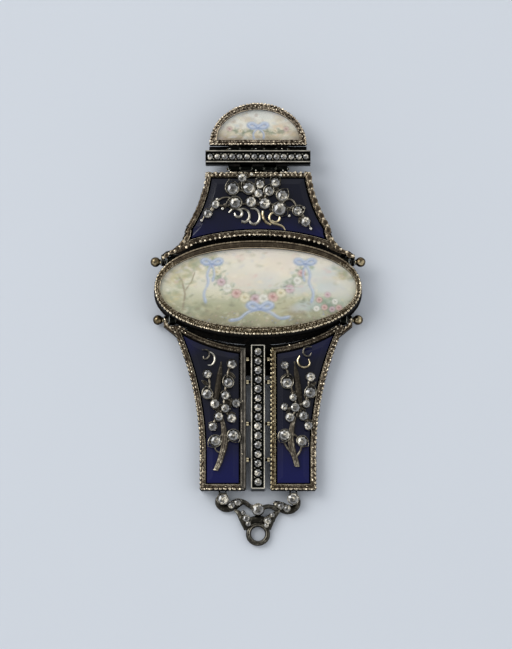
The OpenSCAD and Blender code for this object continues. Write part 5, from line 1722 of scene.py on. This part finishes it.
class CHATELAINE_OT_lower_bar(Operator):
    """Models the narrow bar with its stones, and the rods that carry it"""

    bl_idname = "chatelaine.lower_bar"
    bl_label = "Lower bar"

    def execute(self, context):
        low, high = MID_BAR
        parts = [channel_bar("slim_bar", (*low, 0), (*high, MID_BAR_T), 0.16, 0.3)]
        places = [(0, -7.105 - 33.2 * i / 14) for i in range(15)]
        parts += rails(MID_BAR, MID_BAR_T) + row_of_stones(places, 0.95, MID_BAR_T - 0.1, True)
        slim = fuse("slim_bar", parts)
        settle(slim, "lower_plates", "darkened_silver", "lower_bar", "lower_bar_stones")
        half = [(-3.95, 0), (-3.95, 0.4), (-2.9, 0.4), (-2.9, 0.62), (-2.35, 0.62), (-2.3, 0.4), (-1.75, 0.4)]
        profile = half + [(-x, r) for x, r in reversed(half)]
        for k, y in enumerate(ROD_Y, 1):
            rod = coat(lathe(f"rod_{k}", profile, y, ROD_Z, steps=20), "worn_gilt")
            settle(rod, "lower_plates", "gilt_pins", f"cross_pin_{k}")
        return {"FINISHED"}


def sprig_place(x, y):
    """Place on the right lower plate from shares of its foot's width and its length."""
    return (INNER_X + x * (OUTER_X - INNER_X), LOWER_FOOT + y * LOWER_L)


class CHATELAINE_OT_sprigs(Operator):
    """Models the two sprigs on the lower plates"""

    bl_idname = "chatelaine.sprigs"
    bl_label = "Sprigs"

    def execute(self, context):
        base, mid = LOWER_T + SEAT, LOWER_T + SEAT + 0.32
        thick = sizes().wire / MM
        for side, (table, pairs, trunk, twigs, twig_share, curls, bright) in SPRIGS.items():
            places = [(*sprig_place(x, y), size * COLLET_R) for x, y, size in table]
            parts = stems_between(places, pairs, mid, thick)
            for off in (-1, 0, 1):
                strand = [
                    (x + off * 0.3 * w, y, mid + 0.1 - 0.05 * abs(off), 0.55 + 0.45 * w)
                    for (x, y), w in zip([sprig_place(*p) for p in trunk], (1.1, 1.2, 1.4, 1.6, 1.2, 0.6))
                ]
                parts.append(coat(wire("trunk", strand, thick, flat=0.8), "bark_silver"))
            for twig in twigs:
                parts.append(stem([sprig_place(*t) for t in twig], mid, thick * twig_share, "bark_silver"))
            rib = [(*sprig_place(x, y), mid, w) for x, y, w in (
                (0.68, 0.56, 1.0), (0.62, 0.68, 2.6), (0.57, 0.80, 2.2), (0.53, 0.90, 0.4))]
            parts.append(coat(wire("blade", rib, thick, flat=0.4), "bark_silver"))
            parts += petals(places, ((1, 1.2), (12, -0.7), (11, -2.2), (3, 1.4)), base + 0.72)
            for curl, finish in zip(curls, ("aged_spray", bright)):
                parts.append(stem(curl, mid + 0.1, thick * 0.85, finish, [0.6, 0.9, 1.0, 1.0, 0.8, 0.6]))
            parts += leafy(places, pairs, base)
            sprig = fuse(side + "_sprig", parts + set_stones(places, "aged_spray", base, COLLET_H))
            if side == "left":
                mirrored(sprig)
            settle(sprig, "lower_plates", "spray_silver", side + "_spray", side + "_spray_stones", angle=32)
        return {"FINISHED"}


class CHATELAINE_OT_drop(Operator):
    """Models the drop with its scrolls, stones and round eye"""

    bl_idname = "chatelaine.drop"
    bl_label = "Drop"

    def execute(self, context):
        silver, top = "drop_silver", DROP_AXIS[0]
        parts = []
        for side, lines, gems in (
            (-1, (LEFT_ARM, LEFT_LEG), LEFT_GEMS), (1, (RIGHT_ARM, RIGHT_LINK, RIGHT_LEG), RIGHT_GEMS),
        ):
            for points in lines:
                path = [(side * x * HEAD_X, top - y * DROP_L, 0.85, w * 1.25 / 1.4) for x, y, w in points]
                trail = [(x, y, 1.26, 0.6 + 0.2 * (k % 2)) for k, (x, y, _, _) in enumerate(path)]
                parts.append(coat(wire("scroll", path, 1.4, flat=0.62), silver))
                parts.append(coat(wire("scroll_edge", trail, 0.26), "aged_spray"))
            head = side * HEAD_X
            low, high = sorted((head - side * 0.2, head + side * 1.0))
            parts += [coat(part, silver) for part in (
                barrel("head_barrel", 0.52, head - 0.5, head + 0.5, DROP_AXIS),
                block("head_web", (head - 0.5, top - 1.6, 0.6), (head + 0.5, top, 1.4), 0.06),
                block("head_tail", (low, top - 3.3, 0.2), (high, top - 1.5, 1.2), 0.2),
            )]
            parts += set_stones(
                [(side * x * HEAD_X, top - y * DROP_L, r + 0.2) for x, y, r in gems], silver, 0.55, 1.45)
            parts += set_stones([(head, top - 1.35, 1.5)], silver, 1.72, 1.1)
            parts += copies(grain_pattern(silver), [put(head, top - 1.6, 0.7, 0.8, 1.2)])
        parts += set_stones([(0, top - DROP_L * 0.395, 1.6)], silver, 0.0, 2.45)
        bridge = [(-2.8, -50.3, 0.6), (-1.5, -49.5, 1.0), (0, -49.3, 1.1), (1.5, -49.5, 1.0), (2.8, -50.3, 0.6)]
        parts.append(coat(wire("bridge", [(x, y, 0.6, w) for x, y, w in bridge], 1.9, flat=0.55), silver))
        turns = [math.tau * i / 14 for i in range(14)]
        section = [(EYE_R + 0.64 + 0.64 * math.cos(t), EYE_Y, 0.75 + 0.72 * math.sin(t)) for t in turns]
        parts.append(coat(spun("eye", section, (0, EYE_Y, 0), (0, 0, 1), 48, closed=True), silver))
        # A thin bright wire round the top of the eye: a painted highlight on the ring
        gleam = [(x, EYE_Y + y, 1.4, 1.0) for x, y, _ in ring(2.15, 0, 40)]
        parts.append(coat(wire("eye_gleam", gleam, 0.14, closed=True), "aged_spray"))
        settle(fuse("scroll_drop", parts), "drop", "darkened_silver", "drop", "drop_stones")
        return {"FINISHED"}


class CHATELAINE_OT_pins(Operator):
    """Models the ball pins and the pins of the hinges"""

    bl_idname = "chatelaine.pins"
    bl_label = "Pins"

    def execute(self, context):
        turns = [math.radians(angle) for angle in range(150, 0, -12)]
        for row, axis, ear, ball, start in (
            ("upper", UPPER_AXIS, UPPER_EAR[1], UPPER_BALL, 20.98),
            ("lower", LOWER_AXIS, LOWER_EAR[1], LOWER_BALL, 20.3),
        ):
            profile = [(start, 0), (start, 0.45), (ear + 0.1, 0.45), (ear + 0.12, 0.78), (ear + 0.24, 0.82)]
            profile += [(ball + 1.25 * math.cos(t), 1.25 * math.sin(t)) for t in turns] + [(ball + 1.25, 0)]
            for side in ("left", "right"):
                pin = coat(lathe(f"{row}_{side}_ball", profile, *axis), "worn_gilt")
                if side == "left":
                    mirrored(pin)
                settle(pin, "oval", "gilt_pins", f"{row}_ball_pin_{side}", angle=50)
        profile = [(-7.8, 0), (-7.8, 0.2), (-7.7, 0.3), (7.7, 0.3), (7.8, 0.2), (7.8, 0)]
        for name, axis, body in (
            ("crest_hinge_pin", CREST_AXIS, "upper_bar"), ("bar_hinge_pin", BAR_AXIS, "upper_panel"),
        ):
            settle(coat(lathe(name + "_wire", profile, *axis, steps=16), "worn_gilt"), body, "gilt_pins", name)
        for side, middle in (("left", -HEAD_X), ("right", HEAD_X)):
            profile = [(middle - 0.98, 0), (middle - 0.98, 0.25), (middle + 0.98, 0.25), (middle + 0.98, 0)]
            pin = coat(lathe(f"drop_{side}_wire", profile, *DROP_AXIS, steps=14), "worn_gilt")
            settle(pin, "lower_plates", "gilt_pins", f"drop_pin_{side}")
        return {"FINISHED"}


# Stage: lights as (name, place, size, power), all in metres and watts; sky brightness; camera
LIGHTS = (("key", (-1.5, 0.95, 1.6), 1.5, 26.6), ("fill", (1.4, -0.4, 1.4), 1.8, 5.0))
SKY = 1.51
AIM = Vector((-0.0005, 0.0005, 0))
CAMERA_AWAY = 2.4
CAMERA_RISE = math.radians(78)
SENSOR = 24
VIEW_HEIGHT = 649 * 0.25 * MM


class CHATELAINE_OT_stage(Operator):
    """Sets the paper floor, the soft lights and the camera"""

    bl_idname = "chatelaine.stage"
    bl_label = "Stage"

    def execute(self, context):
        deselect()
        bpy.ops.mesh.primitive_plane_add(size=3.0, location=(0, 0, -0.00002))
        floor = bpy.context.object
        floor.name = "paper_floor"
        bpy.ops.object.transform_apply(location=True)
        coat(floor, "pale_paper")

        world = bpy.data.worlds.new("studio")
        world.use_nodes = True
        tree = world.node_tree
        way = add_node(tree, "ShaderNodeTexCoord").outputs["Generated"]
        axes = add_node(tree, "ShaderNodeSeparateXYZ", links={"Vector": way})
        stops = [(at, [v * share for v in tone("#F0F3F8")]) for at, share in ((0.25, 1.0), (0.93, 0.16))]
        shade = add_node(tree, "ShaderNodeValToRGB", {"stops": stops}, {"Fac": axes.outputs["Z"]})
        sky = tree.nodes["Background"]
        sky.inputs["Strength"].default_value = SKY
        tree.links.new(shade.outputs["Color"], sky.inputs["Color"])
        context.scene.world = world
        for name, place, size, power in LIGHTS:
            bpy.ops.object.light_add(type="AREA", location=place)
            lamp = context.object
            lamp.name = name
            lamp.data.size = size
            lamp.data.energy = power
            lamp.rotation_euler = (-Vector(place)).to_track_quat("-Z", "Y").to_euler()

        away = CAMERA_AWAY * Vector((0, -math.cos(CAMERA_RISE), math.sin(CAMERA_RISE)))
        bpy.ops.object.camera_add(location=AIM + away)
        camera = context.object
        camera.name = "camera"
        camera.rotation_euler = (AIM - camera.location).to_track_quat("-Z", "Y").to_euler()
        camera.data.sensor_fit = "VERTICAL"
        camera.data.sensor_height = SENSOR
        camera.data.lens = SENSOR * CAMERA_AWAY / VIEW_HEIGHT
        camera.data.clip_start = 0.01
        context.scene.camera = camera
        context.scene.view_settings.view_transform = "Standard"
        return {"FINISHED"}


STEPS = (
    CHATELAINE_OT_oval, CHATELAINE_OT_crest, CHATELAINE_OT_belt_hook, CHATELAINE_OT_upper_bar,
    CHATELAINE_OT_upper_panel, CHATELAINE_OT_bouquet, CHATELAINE_OT_lower_plates, CHATELAINE_OT_lower_bar,
    CHATELAINE_OT_sprigs, CHATELAINE_OT_drop, CHATELAINE_OT_pins, CHATELAINE_OT_stage,
)


class CHATELAINE_PT_panel(Panel):
    """Sizes, colours and steps of the chatelaine"""

    bl_idname = "CHATELAINE_PT_panel"
    bl_label = "Chatelaine"
    bl_space_type = "VIEW_3D"
    bl_region_type = "UI"
    bl_category = "Chatelaine"

    def draw(self, context):
        for group in (context.scene.chatelaine_sizes, context.scene.chatelaine_colours):
            for name in group.__annotations__:
                self.layout.prop(group, name)
        for step in STEPS:
            self.layout.operator(step.bl_idname)


CLASSES = (ChatelaineSizes, ChatelaineColours, *STEPS, CHATELAINE_PT_panel)


def register():
    """Adds the classes and their settings."""
    for item in CLASSES:
        bpy.utils.register_class(item)
    bpy.types.Scene.chatelaine_sizes = PointerProperty(type=ChatelaineSizes)
    bpy.types.Scene.chatelaine_colours = PointerProperty(type=ChatelaineColours)


def unregister():
    """Takes the classes and their settings away."""
    del bpy.types.Scene.chatelaine_sizes
    del bpy.types.Scene.chatelaine_colours
    for item in reversed(CLASSES):
        bpy.utils.unregister_class(item)


def main():
    """Runs every step in order."""
    register()
    steps = bpy.ops.chatelaine
    for step in (
        steps.oval, steps.crest, steps.belt_hook, steps.upper_bar, steps.upper_panel, steps.bouquet,
        steps.lower_plates, steps.lower_bar, steps.sprigs, steps.drop, steps.pins, steps.stage,
    ):
        if step() != {"FINISHED"}:
            raise RuntimeError(f"{step.idname()} didn't finish")


if __name__ == "__main__":
    main()
